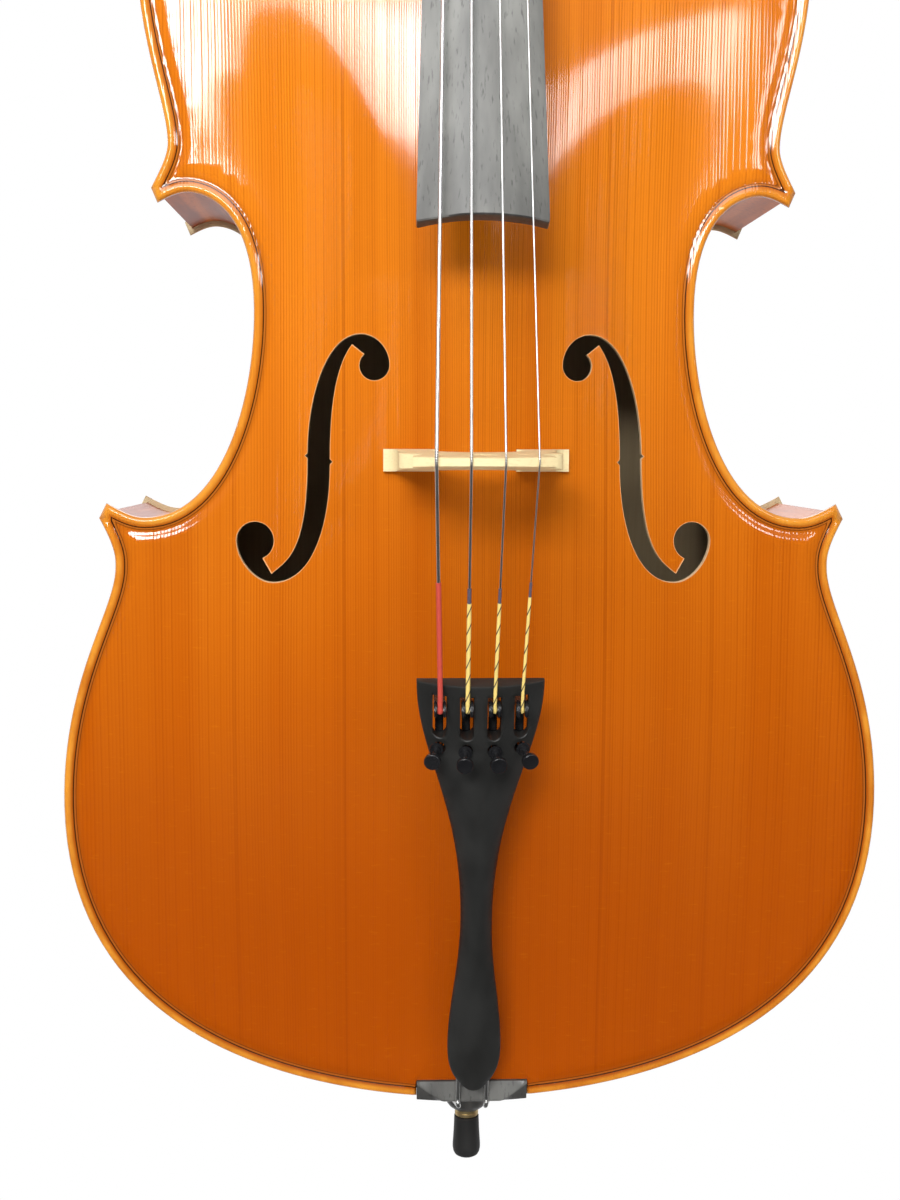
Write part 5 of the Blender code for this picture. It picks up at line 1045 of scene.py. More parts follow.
def bridge_maple():
    mat, tone, x, y, z = finish("bridge_maple", Specular_IOR_Level=0.4)
    fleck = tone.noise(x * 160, y * 900, z * 900, 3).step(0.52, 0.70)
    grain = tone.noise(x * 40, y * 700, z * 500, 2)
    stain = tone.noise(x * 60, y * 60, z * 60, 3)
    colour = (fleck * 0.28).mix((0.77, 0.63, 0.35), (0.60, 0.42, 0.20))
    colour = (stain.step(0.5, 0.8) * 0.35).mix(colour, (0.70, 0.52, 0.26))
    paint(mat, colour, 0.42 + 0.2 * grain, grain * 0.5 + fleck * 0.5, 0.15, 0.0002)
    return mat


BRIDGE_MAPLE = bridge_maple()


def bridge_crown(x):
    return BRIDGE_TOP_Y + BRIDGE_TOP_RADIUS - math.sqrt(BRIDGE_TOP_RADIUS ** 2 - x ** 2)


def belly_height(x, z):
    spot = np.array([(x, z)])
    return float(plate_height(spot, TOP_ARCH, edge_distance(spot, EDGE))[0]) + GLUE_GAP


def make_bridge():
    """Fret-sawn outline with its openings; the faces taper and their edges are eased."""
    base = np.array((0, TOP_ARCH))
    foot = np.array([(x, belly_height(x, BRIDGE_Z) + 0.0004) for x in np.linspace(*BRIDGE_FOOT, 9)])
    toe, inner_toe = foot[-1] + (0, 0.0035), foot[0] + (0, 0.0040)
    ankle, hip, wing, waist = (base + p for p in ((0.0400, 0.009), (0.0345, 0.036),
                                                  (0.0400, 0.044), (0.0285, 0.056)))
    shoulder = (BRIDGE_TOP_HALF, TOP_ARCH + BRIDGE_HEIGHT - 0.014)
    right = chain(np.vstack([foot, [toe]]), bezier(toe, LEFT, ankle, UP, (0.005, 0.004), 8),
                  bezier(ankle, UP, hip, UP, (0.012, 0.008), 10),
                  bezier(hip, UP, wing, UP, (0.003, 0.003), 6),
                  bezier(wing, UP, waist, UP, (0.004, 0.006), 10),
                  bezier(waist, UP, shoulder, UP, (0.008, 0.006), 10))
    top = np.array([(x, FRONT - bridge_crown(x))
                    for x in np.linspace(BRIDGE_TOP_HALF, -BRIDGE_TOP_HALF, 33)])
    knee = base + (0.0255, 0.014)
    bow = chain(bezier(inner_toe, RIGHT, knee, UP, (0.003, 0.004), 8),
                bezier(knee, UP, base + (0, 0.033), LEFT, (0.010, 0.010), 12))
    bow = np.vstack([bow, mirrored(bow[:-1])[::-1]])
    loop = np.vstack([right, top, mirrored(right)[::-1], bow[::-1]])
    point, cheek, lobe, notch = (base + p for p in ((0, 0.047), (0.0085, 0.056), (0.0050, 0.0635),
                                                    (0, 0.0595)))
    half = chain(bezier(point, math.radians(35), cheek, UP, (0.005, 0.004), 6),
                 bezier(cheek, UP, lobe, LEFT, (0.003, 0.002), 5),
                 bezier(lobe, LEFT, notch, -UP, (0.003, 0.002), 5))
    heart = np.vstack([half, mirrored(half[1:-1])[::-1]])
    eye = arc(base + (0.0205, 0.0530), 0.0042, 0, 360, 24)[:-1]
    holes = [heart, eye, mirrored(eye)]
    field = plan_field(np.arange(-0.048, 0.048, BRIDGE_GRID), np.arange(0.022, 0.113, BRIDGE_GRID),
                       loop, holes, BRIDGE_CLEAR)
    spots, faces = plan_mesh(loop, holes, np.vstack([field, ring_along(loop, BRIDGE_EASE[0])]))
    far = np.minimum.reduce([edge_distance(spots, edge) for edge in [loop] + holes])
    share = np.clip((spots[:, 1] - TOP_ARCH) / BRIDGE_HEIGHT, 0, 1)
    eased = BRIDGE_EASE[1] * np.clip(1 - far / BRIDGE_EASE[0], 0, 1) * (spots[:, 1] > 0.03)
    thick = between(BRIDGE_BLADE, share) / 2 - eased
    places = [(x, FRONT - h, BRIDGE_Z + side * t) for side in (1, -1) for (x, h), t in zip(spots, thick)]
    piece("bridge_dressed", places, two_sided(faces, len(spots)), BRIDGE_MAPLE, "cello_body",
          "bridge_maple", "bridge")


make_bridge()


# Strings: four steel ropes wound with flat wire, from the tuner forks over the bridge and the nut to
# the pegs. Coloured silk is wound round their lower ends.
BRIDGE_SPACING = 0.0158
BRIDGE_CENTRE = 0.0012
SADDLE_TOP_Y = FRONT - 0.0110
WIRE_RADIUS = 0.0013
TAIL_THICK = (0.012, 0.0070)
TAIL_TILT = math.atan2(SADDLE_TOP_Y - TAIL_THICK[1] - 2 * GLUE_GAP - 2 * WIRE_RADIUS - BRIDGE_TOP_Y,
                       BRIDGE_Z)
TAIL_DOWN = Vector((0, math.sin(TAIL_TILT), -math.cos(TAIL_TILT)))
TAIL_OUT = Vector((0, -math.cos(TAIL_TILT), -math.sin(TAIL_TILT)))
AFTER_LENGTH = 0.112
TAIL_TOP = Vector((0, BRIDGE_TOP_Y, BRIDGE_Z)) + AFTER_LENGTH * TAIL_DOWN
TUNER_SPACING = 0.0133
LEVER_AT = 0.0115
COIL_LOOPS = 3
COIL_STEPS = 48
COIL_GAP = 0.0006
COIL_PULL = 0.55
SILK_START = (0.51, 0.60, 0.60, 0.575)
SILK_THICK = 0.00042
SILK_KNOT = ((0.0004, 1.25), (0.0012, 1.5), (0.0022, 1.3), (0.0030, 0.5))
MARK_LENGTH = 0.065
MARK_THICK = 0.00030


def tail_spot(x, along, out):
    """A point from the tailpiece's own measures: across, down its length and out of its face."""
    return TAIL_TOP + Vector((float(x), 0, 0)) + TAIL_DOWN * float(along) + TAIL_OUT * float(out)


def tuner_x(index):
    return string_x(index, TUNER_SPACING)


def rod(points, radius, sides, wave=None):
    """Round rod along a row of points; wave may change the radius along it."""
    points = [Vector(p) for p in points]
    rings = []
    up = None
    for k, p in enumerate(points):
        ahead = (points[min(k + 1, len(points) - 1)] - points[max(k - 1, 0)]).normalized()
        up = ahead.orthogonal() if up is None else (up - ahead * up.dot(ahead))
        up = up.normalized()
        other = ahead.cross(up)
        r = radius if wave is None else radius * wave[k]
        rings.append([p + r * (math.cos(a) * up + math.sin(a) * other) for a in around(sides)])
    return skin(rings)


def smooth_path(points, steps=6):
    """A smooth curve through a row of points."""
    points = [Vector(p) for p in points]
    out = []
    for k in range(len(points) - 1):
        a, b, c, d = (points[min(max(k + j, 0), len(points) - 1)] for j in (-1, 0, 1, 2))
        for s in range(steps):
            t = s / steps
            out.append(0.5 * (2 * b + (c - a) * t + (2 * a - 5 * b + 4 * c - d) * t * t
                              + (3 * b - a - 3 * c + d) * t ** 3))
    return out + [points[-1]]


def string_steel(name, colour, rough):
    mat, tone, x, y, z = finish(name, Metallic=1.0)
    wound = (z * 5200).math("SINE", z * 5200)
    dull = tone.noise(x * 300, y * 300, z * 60, 3)
    shade = (dull.step(0.4, 0.8) * 0.5).mix(colour, tuple(c * 0.62 for c in colour))
    paint(mat, shade, rough + 0.15 * dull, wound, 0.25, 0.0001)
    return mat


def silk(name, colour, thread, twist):
    """Silk whipping: fine turns of thread, with a dark spiral where the maker marks it."""
    mat, tone, x, y, z = finish(name, Specular_IOR_Level=0.3)
    turn = (z * 2600).math("SINE", z * 2600 + x * 900)
    wrap = (z - x * 2.4) * 118
    spiral = wrap.math("FRACT", wrap).line(0.5, 0.075) * twist
    fade = tone.noise(x * 200, y * 200, z * 200, 3)
    shade = (fade * 0.5).mix(colour, tuple(c * 0.7 for c in colour))
    paint(mat, spiral.mix(shade, thread), 0.6 + 0.2 * fade, turn, 0.3, 0.0001)
    return mat


STRING_STEEL = string_steel("string_steel", (0.80, 0.80, 0.79), 0.24)
SILKS = (silk("silk_red", (0.52, 0.062, 0.042), (0.4, 0.02, 0.02), 0.0),) + 3 * (
    silk("silk_yellow", (0.80, 0.60, 0.18), (0.03, 0.025, 0.03), 1.0),)
SILK_DARK = silk("silk_dark", (0.10, 0.075, 0.10), (0.02, 0.02, 0.02), 0.0)


def nut_spot(index):
    x = string_x(index, NUT_SPACING)
    height = crown(BOARD_HALF[1]) - fall(x)
    y = glue_y(NUT_Z) - height - NUT_RAISE - GLUE_GAP - STRING_RADII[index]
    return Vector((x, y, NUT_Z + NUT_LENGTH / 2))


def bridge_spot(index):
    x = string_x(index, BRIDGE_SPACING) + BRIDGE_CENTRE
    lift = GLUE_GAP + BRIDGE_SEAT / 2 * math.tan(TAIL_TILT)
    return Vector((x, bridge_crown(x) - lift - STRING_RADII[index], BRIDGE_Z))


def coil_span(index):
    """Where a winding starts and ends across its peg, and its radius."""
    middle = nut_spot(index).x * COIL_PULL
    reach = STRING_PEGS[index][1] * (2 * STRING_RADII[index] + COIL_GAP) * COIL_LOOPS / 2
    return middle - reach, middle + reach, peg_radius(peg_wall(index)) + TURN_GAP + STRING_RADII[index]


def make_string(index):
    """One string, its silk with a dark mark on all but the lowest, and its turns on the peg."""
    name, radius = STRING_NAMES[index], STRING_RADII[index]
    nut, bridge = nut_spot(index), bridge_spot(index)
    fork = tail_spot(tuner_x(index), LEVER_AT - 0.001, GLUE_GAP + radius)
    fret = tail_spot(tuner_x(index), 0.002, GLUE_GAP + radius)
    start, end, winding = coil_span(index)
    touch = peg_spot(index) + Vector((start, -winding, 0))
    swept = math.hypot(winding + radius, 2 * radius)
    clear = math.sqrt((swept + FIT_GAP) ** 2 - (winding - radius) ** 2) + radius
    stop = touch - (touch - nut).normalized() * clear
    path = [fork, fret, bridge.lerp(fret, 0.02), bridge, bridge.lerp(nut, 0.01), nut.lerp(bridge, 0.003),
            nut, stop]
    piece(f"string_{name}_wound", *rod(path, radius, 14), STRING_STEEL, "cello_body", "string_steel",
          f"string_{name}", angle=60)
    down = (fork - fret).normalized()
    whip = [bridge.lerp(fret, s) for s in np.linspace(SILK_START[index], 1.0, 24)]
    whip += [fret.lerp(fork, s) for s in (0.5, 0.9)]
    girth = [1.0] * len(whip) + [wide for _, wide in SILK_KNOT]
    whip += [fork + down * s for s, _ in SILK_KNOT]
    piece(f"silk_{name}", *rod(whip, radius + SILK_THICK, 12, girth), SILKS[index], "cello_body",
          "string_steel", angle=60)
    if index:
        shares = np.linspace(SILK_START[index] - MARK_LENGTH, SILK_START[index], 5)
        mark = rod([bridge.lerp(fret, s) for s in shares], radius + MARK_THICK, 12)
        piece(f"silk_mark_{name}", *mark, SILK_DARK, "cello_body", "string_steel", angle=60)
    spot, total = peg_spot(index), COIL_LOOPS * COIL_STEPS
    points = [spot + Vector((start, -winding, -2 * radius))]
    for k in range(total + 1):
        angle = 2 * math.pi * k / COIL_STEPS
        points.append(spot + Vector((start + (end - start) * k / total, -winding * math.cos(angle),
                                     winding * math.sin(angle))))
    last = points[-1]
    points += [last + 2 * radius * Vector((0, 1 - math.cos(a), math.sin(a)))
               for a in np.linspace(0.2, math.pi / 2, 6)]
    points.append(points[-1] + Vector((0, 2 * radius, 0)))
    piece(f"winding_{name}_turns", *rod(points, radius, 10), STRING_STEEL, f"peg_{name}", "string_steel",
          f"winding_{name}", angle=60)


for number in range(4):
    make_string(number)


# Tailpiece: moulded black composite, arched across, wide at the tuners and slim at the waist. The
# strings pull it up and the tail wire holds it down.
TAIL_LENGTH = 0.2380
TAIL_HALF_TOP = 0.0313
TAIL_WAIST = (0.0081, 0.135)
TAIL_FOOT = (0.0142, 0.213)
TAIL_DEEP_TO = 0.050
TAIL_EDGE = (0.0045, 0.0040)
TAIL_ROUND = 0.0007
TAIL_UNDER = 0.0006
TAIL_GRID = (0.0019, 0.0026)
TAIL_CLEAR = 0.0012
MOUTH_EASE = 0.0005
SLOT = (0.0060, 0.0290, 0.0034)
SCREW_AT = 0.0345
SCREW_HOLE = 0.0031


def moulded(name, base, rough, grit=0.5):
    """Moulded black composite with a fine matte grain, and soft random patches that are paler and
    rougher.
    """
    mat, tone, x, y, z = finish(name, Specular_IOR_Level=0.4)
    grain = tone.noise(x * 2600, y * 2600, z * 2600, 2)
    rub = tone.noise(x * 70, y * 70, z * 35, 4)
    colour = (rub.step(0.3, 0.8) * 0.6).mix(base, tuple(c * 1.8 + 0.004 for c in base))
    paint(mat, colour, rough + 0.16 * rub, grain * grit, 0.12, 0.00015)
    return mat


PLASTIC = moulded("black_plastic", (0.0125, 0.0125, 0.0115), 0.42)
KNOB_BLACK = moulded("black_gloss", (0.008, 0.008, 0.009), 0.14, 0.05)


def tail_curve():
    return chain(bezier((TAIL_HALF_TOP, 0), UP, TAIL_WAIST, UP, (0.040, 0.070), 36),
                 bezier(TAIL_WAIST, UP, TAIL_FOOT, UP, (0.030, 0.026), 20),
                 bezier(TAIL_FOOT, UP, (0, TAIL_LENGTH), LEFT, (0.0142, 0.0088), 18))


TAIL_CURVE = tail_curve()


def tail_thick(along):
    return np.interp(along, (TAIL_DEEP_TO, TAIL_LENGTH), TAIL_THICK)


def tail_drop(x, along):
    """How far the arched face falls from its crown towards the sides."""
    half = np.interp(along, TAIL_CURVE[:, 1], TAIL_CURVE[:, 0])
    edge = np.interp(along, (0, TAIL_LENGTH), TAIL_EDGE)
    return (tail_thick(along) - edge) * np.clip(np.abs(x) / np.maximum(half, TAIL_WAIST[0]), 0, 1) ** 2


def make_tailpiece():
    """Arched plate with a slot and a screw hole for each string; its edges are rounded."""
    top = np.array([(x, 0.0) for x in np.linspace(-TAIL_HALF_TOP, TAIL_HALF_TOP, 41)[1:-1]])
    loop = np.vstack([top, TAIL_CURVE, mirrored(TAIL_CURVE)[::-1][1:]])
    holes = []
    for index in range(4):
        x = tuner_x(index)
        holes.append(np.vstack([arc((x, SLOT[1] - SLOT[2]), SLOT[2], 0, 180, 18),
                                [(x - SLOT[2], SLOT[0]), (x + SLOT[2], SLOT[0])]]))
        holes.append(arc((x, SCREW_AT), SCREW_HOLE, 0, 360, 24)[:-1])
    field = plan_field(np.arange(-0.031, 0.0311, TAIL_GRID[0]),
                       np.arange(0.0016, TAIL_LENGTH, TAIL_GRID[1]), loop, holes, TAIL_CLEAR)
    rims = [ring_along(loop, distance) for distance in (0.0003, TAIL_ROUND)]
    rims = [r[inside(r, loop) & (edge_distance(r, loop) > 0.0002)] for r in rims]
    rims += [ring_along(slot, -MOUTH_EASE) for slot in holes[::2]]
    spots, faces = plan_mesh(loop, holes, np.vstack([field] + rims))
    near = np.clip(1 - edge_distance(spots, loop) / TAIL_ROUND, 0, 1)
    mouth = np.minimum.reduce([edge_distance(spots, hole) for hole in holes])
    lip = TAIL_ROUND * (1 - np.sqrt(1 - near ** 2)) + MOUTH_EASE * np.clip(1 - mouth / MOUTH_EASE, 0, 1)
    over = tail_drop(spots[:, 0], spots[:, 1]) + lip
    outer = [tail_spot(p, q, -d - GLUE_GAP) for (p, q), d in zip(spots, over)]
    under = tail_thick(spots[:, 1]) - TAIL_UNDER * near
    inner = [tail_spot(p, q, -d) for (p, q), d in zip(spots, under)]
    piece("tailpiece_dressed", outer + inner, two_sided(faces, len(spots)), PLASTIC, "cello_body",
          "black_plastic", "tailpiece")


make_tailpiece()


# Fine tuners: for each string a bent lever whose fork holds the string's end, and a screw whose foot
# presses the lever's long arm. The screw's knob stands over the tailpiece on a thin stem.
LEVER_HALF = 0.0029
LEVER_ARM = 0.0036
LEVER_RISE = 0.0045
LEVER_SLIT = (0.0015, 0.0011, 0.0011, 0.0011)
LEVER_SLIM = 0.72 * LEVER_HALF
LEVER_EASE = 0.0005
SCREW_RADIUS = 0.0015
SCREW_FAN = 8.5
SCREW_LENGTH = 0.0100
KNOB_RADIUS = 0.0041
KNOB_LENGTH = 0.0062
KNOB_DISC = 0.0034
KNOB_ROUND = 0.0006


def soften(spots, faces, width):
    """Ease the sharp edges of a block."""
    def ease(bm):
        bmesh.ops.recalc_face_normals(bm, faces=bm.faces)
        sharp = [e for e in bm.edges if e.is_manifold and e.calc_face_angle(0) > 0.5]
        bmesh.ops.bevel(bm, geom=sharp, offset=width, segments=2, affect="EDGES", clamp_overlap=True)
    mesh = worked_mesh("block", spots, faces, ease)
    made = [tuple(v.co) for v in mesh.vertices], [list(p.vertices) for p in mesh.polygons]
    bpy.data.meshes.remove(mesh)
    return made


def join(*solids):
    spots, faces = [], []
    for more, sides in solids:
        faces += [[i + len(spots) for i in f] for f in sides]
        spots += list(more)
    return spots, faces


def make_tuner(index):
    """One lever of foot, arm and two tines, and its screw, turned along a slightly fanned axis."""
    name, x = STRING_NAMES[index], tuner_x(index)
    under = -TAIL_THICK[0] - FIT_GAP
    near, far, end = LEVER_AT - LEVER_ARM / 2, LEVER_AT + LEVER_ARM / 2, SCREW_AT + 0.004

    def slab(low, high, profile):
        rings = [[tail_spot(x + s, a, o) for a, o in profile] for s in (low, high)]
        return soften(*skin(rings), LEVER_EASE)
    deep = under - LEVER_ARM
    foot = [(near, -0.0030), (near, deep), (far, deep), (far, -0.0030)]
    arm = [(far - 0.001, under), (far - 0.001, deep), (end, deep), (end, under)]
    tine = [(near - 0.0018, LEVER_RISE - 0.0036), (near - 0.0014, -0.0040), (far + 0.0012, -0.0040),
            (far + 0.0016, LEVER_RISE - 0.0016), (far + 0.0006, LEVER_RISE - 0.0001),
            (far - 0.0012, LEVER_RISE), (near, LEVER_RISE - 0.0010)]
    slit = LEVER_SLIT[index]
    lever = join(slab(-LEVER_HALF, LEVER_HALF, foot), slab(-LEVER_SLIM, LEVER_SLIM, arm),
                 slab(-LEVER_HALF, -slit, tine), slab(slit, LEVER_HALF, tine))
    piece(f"tuner_lever_{name}_forked", *lever, KNOB_BLACK, f"tuner_lever_{name}", "black_plastic",
          f"tuner_lever_{name}")
    axis = Matrix.Rotation(-x * SCREW_FAN, 3, TAIL_DOWN) @ TAIL_OUT
    across = axis.cross(TAIL_DOWN).normalized()
    foot = tail_spot(x, SCREW_AT, -TAIL_THICK[0] + GLUE_GAP)
    deck = TAIL_THICK[0] - float(tail_drop(np.array(x), np.array(SCREW_AT)))
    knob = deck + SCREW_LENGTH
    top = knob + KNOB_LENGTH
    disc = top - KNOB_DISC
    stations = [(0.0, 0.0002), (0.0, SCREW_RADIUS * 0.8), (0.0006, SCREW_RADIUS),
                (deck + 0.0004, SCREW_RADIUS), (deck + 0.0005, 0.0033), (deck + 0.0010, 0.0035),
                (deck + 0.0016, 0.0033), (deck + 0.0019, 0.0024), (deck + 0.0034, 0.0023),
                (deck + 0.0038, SCREW_RADIUS * 0.85), (knob - 0.0006, SCREW_RADIUS * 0.85),
                (knob, 0.0021), (knob + 0.0008, 0.0023), (disc - 0.0003, 0.0024),
                (disc, KNOB_RADIUS - 0.0007), (disc + 0.0003, KNOB_RADIUS - 0.0002),
                (disc + 0.0008, KNOB_RADIUS)]
    stations += [(top - KNOB_ROUND + KNOB_ROUND * math.sin(a),
                  KNOB_RADIUS - KNOB_ROUND + KNOB_ROUND * math.cos(a))
                 for a in np.radians((0, 30, 60, 88))]
    stations += [(top - 0.0002, KNOB_RADIUS - 0.0012), (top - 0.0003, 0.0001)]
    rings = [[foot + h * axis + r * (math.cos(a) * TAIL_DOWN + math.sin(a) * across) for a in around(28)]
             for h, r in stations]
    piece(f"tuner_screw_{name}_turned", *skin(rings), KNOB_BLACK, f"tuner_screw_{name}", "black_gloss",
          f"tuner_screw_{name}")


for number in range(4):
    make_tuner(number)


# Saddle: a block of ebony let into the belly's lower edge, with sloping ends, that keeps the tail wire
# off the wood.
SADDLE_CREST = 0.0074
SADDLE_LIP = 0.0010
SADDLE_FLAT = 0.0160
SADDLE_REACH = 0.0304
SADDLE_BACK = 0.0014
# The saddle's middle takes a paler grey ebony than its sloping ends: partly rubbing, partly a painted
# highlight.
SADDLE_EBONY = ebony("saddle_ebony", 0.60, 0.30)


def crest_line(x):
    """How far the saddle's end is reached at x, from 0 to 1, and how high the crest stands there."""
    end = (max(0.0, abs(x) - SADDLE_FLAT) / (SADDLE_HALF - SADDLE_FLAT)) ** 1.2
    return end, end * (SADDLE_DEPTH - SADDLE_BACK)


def saddle_ring(x):
    """Section of the saddle: a slope up from the belly to a crest that runs back towards its ends."""
    end, at = crest_line(x)
    crest = SADDLE_CREST - SADDLE_BACK * end
    low = crest - between((0.0022, 0.0028), end)
    brow = between((at - 0.0008, 0.0), end), between((crest - 0.0006, low + 0.0006), end)
    profile = [(SADDLE_DEPTH, GLUE_GAP), (SADDLE_DEPTH, 0.0052), (at + 0.0012, crest - 0.0001),
               (at + 0.0004, crest), (at - 0.0004, crest - 0.0002), brow, (-SADDLE_LIP, low),
               (-SADDLE_LIP, GLUE_GAP)]
    return [(x, FRONT - h, z) for z, h in profile]


rings = [saddle_ring(x) for x in np.linspace(-SADDLE_REACH, SADDLE_REACH, 41)]
saddle = piece("saddle_dressed", *skin(rings), [SADDLE_EBONY, EBONY], "cello_body", "ebony", "saddle",
               angle=20)
# Paler ebony in the middle, darker on the sloping ends below the crest: partly a painted highlight.
for side in saddle.data.polygons:
    end, at = crest_line(side.center.x)
    side.material_index = int(end > 0 and side.center.z - LIFT < at)


# Tail wire: one loop of steel wire under the tailpiece's end, over the saddle and round the groove of
# the endpin's plug.
PLUG_GROOVE = 0.0112
WIRE_HALF = 0.0078
WIRE_GRIP = 0.022
GROOVE_Z = -0.0075
WIRE_STEEL = string_steel("wire_steel", (0.72, 0.72, 0.70), 0.30)


def make_tail_wire():
    rest = FRONT - SADDLE_CREST - GLUE_GAP - WIRE_RADIUS
    ring = PLUG_GROOVE + TURN_GAP + WIRE_RADIUS
    grip = TAIL_LENGTH - WIRE_GRIP
    start = tail_spot(-WIRE_HALF, grip, -float(tail_thick(grip)) - GLUE_GAP - WIRE_RADIUS)
    side = Vector((-ring, -ring, GROOVE_Z))
    over = Vector((-WIRE_HALF, rest + 0.0035, -SADDLE_LIP - 0.0022))
    left = [start, Vector((-WIRE_HALF, rest, SADDLE_DEPTH / 2)), Vector((-WIRE_HALF, rest, -SADDLE_LIP)),
            over, over.lerp(side, 0.5) - Vector((0.0025, 0, 0)), side]
    behind = [Vector((-ring * math.cos(a), ring * math.sin(a), GROOVE_Z))
              for a in np.radians(np.linspace(0, 180, 11))]
    right = [Vector((-p.x, p.y, p.z)) for p in reversed(left)]
    piece("tail_wire_loop", *rod(smooth_path(left + behind + right), WIRE_RADIUS, 12), WIRE_STEEL,
          "cello_body", "wire_steel", "tail_wire", angle=60)


make_tail_wire()


# Endpin: an ebony plug pressed through the ribs into the lower block, a steel rod that slides in it,
# a brass ferrule, a rubber tip, and the screw at the back that clamps the rod.
PLUG_OUT = 0.0335
ROD_BORE = 0.0043
TIP_TOP = -0.0386
TIP_END = -LIFT
CLAMP_Z = -0.0230


def turn(profile, sides=48, axis="Z", centre=(0, 0, 0)):
    """Turn a closed profile of (radius, height) points round an axis."""
    rings = []
    for angle in around(sides):
        c, s = math.cos(angle), math.sin(angle)
        ring = [(r * c, r * s, h) if axis == "Z" else (r * c, h, r * s) for r, h in profile]
        rings.append([(p[0] + centre[0], p[1] + centre[1], p[2] + centre[2]) for p in ring])
    return skin(rings, caps=False, loop=True)


def brass_finish():
    mat, tone, x, y, z = finish("brass", Metallic=1.0)
    tarnish = tone.noise(x * 260, y * 260, z * 260, 4)
    lathe = tone.noise(x * 40, y * 40, z * 5000, 2)
    colour = (tarnish.step(0.4, 0.75) * 0.6).mix((0.74, 0.58, 0.30), (0.44, 0.32, 0.15))
    paint(mat, colour, 0.38 + 0.25 * tarnish, lathe, 0.1, 0.0001)
    return mat


BRASS = brass_finish()
RUBBER = moulded("rubber", (0.013, 0.013, 0.0125), 0.50, 0.8)
plug = [(0.0044, 0.033), (0.0101, 0.033), (0.0110, 0.0027), (0.0158, 0.0027), (0.0165, 0.0020),
        (0.0165, -0.0036), (0.0156, -0.0045), (0.0116, -0.0053), (PLUG_GROOVE, -0.0062),
        (PLUG_GROOVE, -0.0088), (0.0117, -0.0099), (0.0125, -0.0105), (0.0125, -0.0150),
        (0.0121, -0.0154), (0.0125, -0.0158), (0.0125, -0.0280), (0.0119, -0.0300), (0.0106, -0.0318),
        (0.0084, -PLUG_OUT), (0.0044, -PLUG_OUT)]
piece("endpin_plug_turned", *turn(plug), EBONY, "cello_body", "ebony", "endpin_plug")
ferrule = [(ROD_BORE, -0.0338), (0.0064, -0.0338), (0.0070, -0.0343), (0.0070, -0.0356),
           (0.0066, -0.0360), (0.0070, -0.0364), (0.0070, -0.0378), (0.0065, -0.0383),
           (ROD_BORE, -0.0383)]
piece("endpin_ferrule_turned", *turn(ferrule), BRASS, "endpin", "brass", "endpin_ferrule")
tip = [(0.0001, -0.0529), (ROD_BORE, -0.0529), (ROD_BORE, TIP_TOP), (0.0068, TIP_TOP),
       (0.0073, TIP_TOP - 0.0005), (0.0076, -0.0470), (0.0080, -0.0535), (0.0082, -0.0562),
       (0.0082, -0.0586), (0.0078, -0.0608), (0.0070, -0.0623), (0.0058, TIP_END), (0.0001, TIP_END)]
piece("endpin_tip_moulded", *turn(tip), RUBBER, "endpin", "rubber", "endpin_tip")
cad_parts["endpin_rod"].data.materials.clear()
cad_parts["endpin_rod"].data.materials.append(WIRE_STEEL)
head = [(0.0001, 0.0043), (0.0026, 0.0043), (0.0026, 0.0130), (0.0072, 0.0130), (0.0080, 0.0137),
        (0.0080, 0.0182), (0.0071, 0.0190), (0.0030, 0.0190), (0.0028, 0.0186), (0.0001, 0.0186)]
piece("endpin_screw_turned", *turn(head, 40, "Y", (0, 0, CLAMP_Z)), WIRE_STEEL, "endpin_screw",
      "wire_steel", "endpin_screw")


# Studio: a pale floor that fades into white, so low that the endpin can be drawn out over it, soft lamps
# overhead, at the left and behind, two window-sized lamps in front, and the camera at the photograph's
# place.
CAMERA_SPOT = (-0.0383, -0.8429, 0.4221)
CAMERA_TURNS = (0.104458971, -0.0327410232, 0.00276269119)
CAMERA_PIXELS = 1471.713
FRAME_LONG = 1200
SENSOR = 36
FLOOR_Z = -0.3005
FLOOR_RADIUS = 6


def camera_matrix():
    """Camera turned by its pitch, yaw and roll from a level view along +Y."""
    pitch, yaw, roll = CAMERA_TURNS
    turns = ((roll, "Z"), (pitch, "X"), (yaw, "Y"))
    about_z, about_x, about_y = (Matrix.Rotation(angle, 3, axis) for angle, axis in turns)
    rows = about_z @ about_x @ about_y @ Matrix(((1, 0, 0), (0, 0, -1), (0, 1, 0)))
    facing = Matrix((rows[0], -rows[1], -rows[2])).transposed().to_4x4()
    return Matrix.Translation(CAMERA_SPOT) @ facing


lens = bpy.data.cameras.new("camera")
lens.sensor_width = SENSOR
lens.lens = CAMERA_PIXELS * SENSOR / FRAME_LONG
lens.clip_start = 0.01
camera = placed("camera", lens)
camera.matrix_world = camera_matrix()
bpy.context.scene.camera = camera


def lamp(name, target, azimuth, elevation, distance, width, height, power, roll=0.0):
    """Soft rectangular lamp facing a height on the body; azimuth 0 is in front, plus to the right."""
    a, e = math.radians(azimuth), math.radians(elevation)
    away = Vector((math.sin(a) * math.cos(e), -math.cos(a) * math.cos(e), math.sin(e)))
    light = bpy.data.lights.new(name, "AREA")
    light.shape = "RECTANGLE"
    light.size, light.size_y = width, height
    light.energy = power
    facing = away.to_track_quat("Z", "Y").to_matrix().to_4x4()
    turned = facing @ Matrix.Rotation(math.radians(roll), 4, "Z")
    obj = placed(name, light)
    obj.matrix_world = Matrix.Translation(Vector((0, FRONT, target)) + away * distance) @ turned
    obj.visible_camera = False


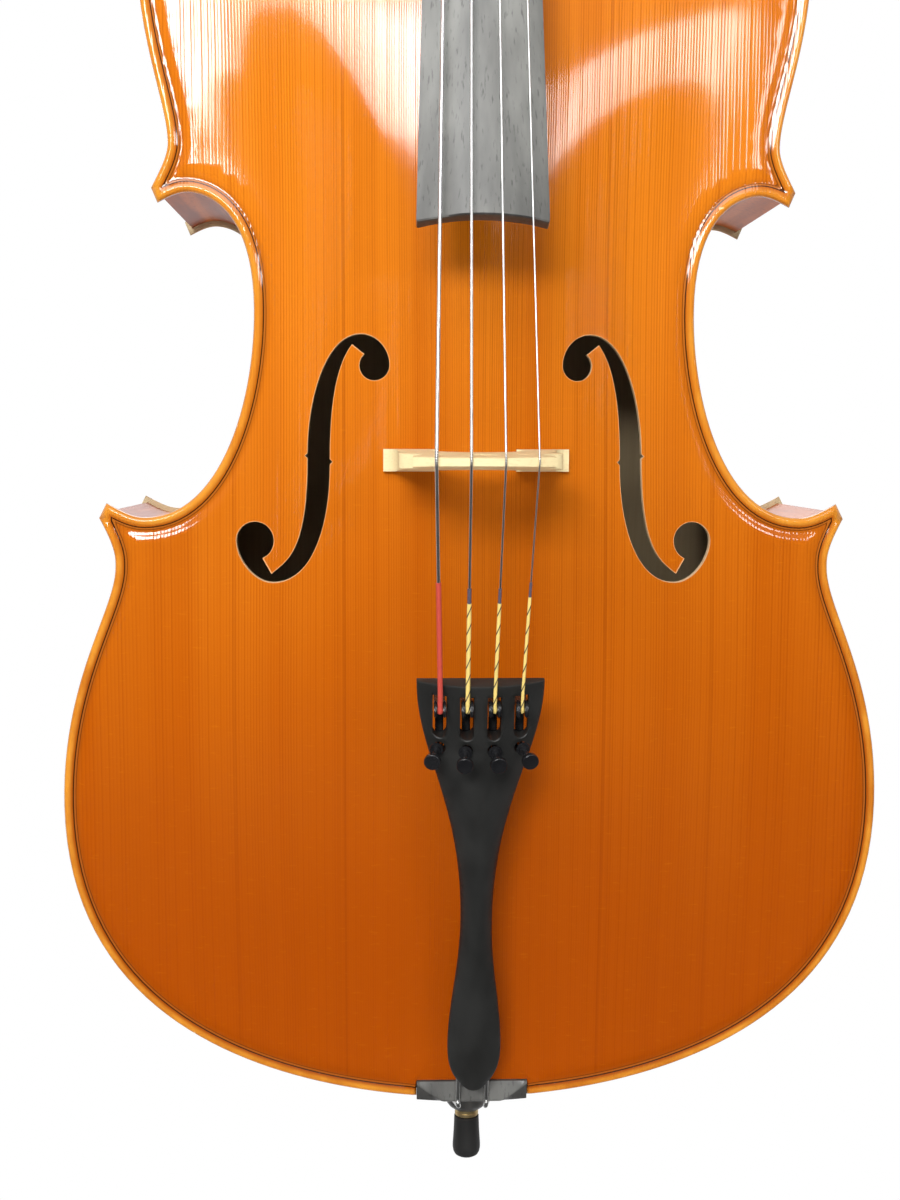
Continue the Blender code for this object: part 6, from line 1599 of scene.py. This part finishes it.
lamp("overhead_softbox", 0.45, -4, 46, 1.6, 1.1, 0.65, 9.0)
lamp("left_window", 0.58, -13.5, 18.0, 3.0, 1.20, 0.64, 72, 13)
lamp("right_window", 0.58, 31, 12, 3.0, 0.56, 0.36, 10)
lamp("left_softbox", 0.58, -36, 33, 2.0, 0.8, 0.6, 8)
lamp("back_fill", 0.60, 180, 25, 2.2, 1.6, 1.2, 16)

world = bpy.data.worlds.new("studio")
bpy.context.scene.world = world
world.use_nodes = True
air = Tone(world.node_tree)
ray = air.node("LightPath", {}, {})
heading = air.node("SeparateXYZ", {}, {0: air.node("TexCoord", {}, {}, 0)})
behind = heading.out(1).step(-0.2, 0.5)
front = heading.out(2).step(0.10, 0.55).mix((0.02, 0.02, 0.02), (0.45, 0.45, 0.46))
seen = behind.mix(front, (0.85, 0.85, 0.86))
shine = ray.out(3) + ray.out(6)
glow = shine.math("MINIMUM", shine, 1.0).mix((0.20, 0.20, 0.205), seen)
sky = ray.mix(glow, (1.0, 1.0, 1.0))
world.node_tree.links.new(sky.socket, world.node_tree.nodes["Background"].inputs["Color"])

bm = bmesh.new()
bmesh.ops.create_circle(bm, cap_ends=True, segments=96, radius=FLOOR_RADIUS)
mesh = bpy.data.meshes.new("floor")
bm.to_mesh(mesh)
bm.free()
floor = placed("floor", mesh)
floor.location.z = FLOOR_Z
pale = bpy.data.materials.new("pale_floor")
pale.use_nodes = True
ground = Tone(pale.node_tree)
x, y, z = ground.place()
ray = ground.node("LightPath", {}, {})
shine = ray + ray.out(3) + ray.out(6)
fade = (0.55 + 0.45 * (x * x + y * y).step(0.02, 0.24)) * shine.math("MINIMUM", shine, 1.0)
dust = ground.noise(x * 30, y * 30, 0.0, 3)
tint = dust.mix((0.86, 0.86, 0.86), (0.90, 0.90, 0.90))
matte = ground.node("BsdfPrincipled", {}, {"Base Color": tint, "Roughness": 0.9})
white = ground.node("Emission", {}, {"Color": (1.0, 1.0, 1.0), "Strength": 1.0})
cover = ground.node("MixShader", {}, {0: fade, 1: matte, 2: white})
pale.node_tree.links.new(cover.socket, pale.node_tree.nodes["Material Output"].inputs["Surface"])
floor.data.materials.append(pale)
floor.visible_glossy = False
bpy.context.scene.view_settings.view_transform = "Standard"
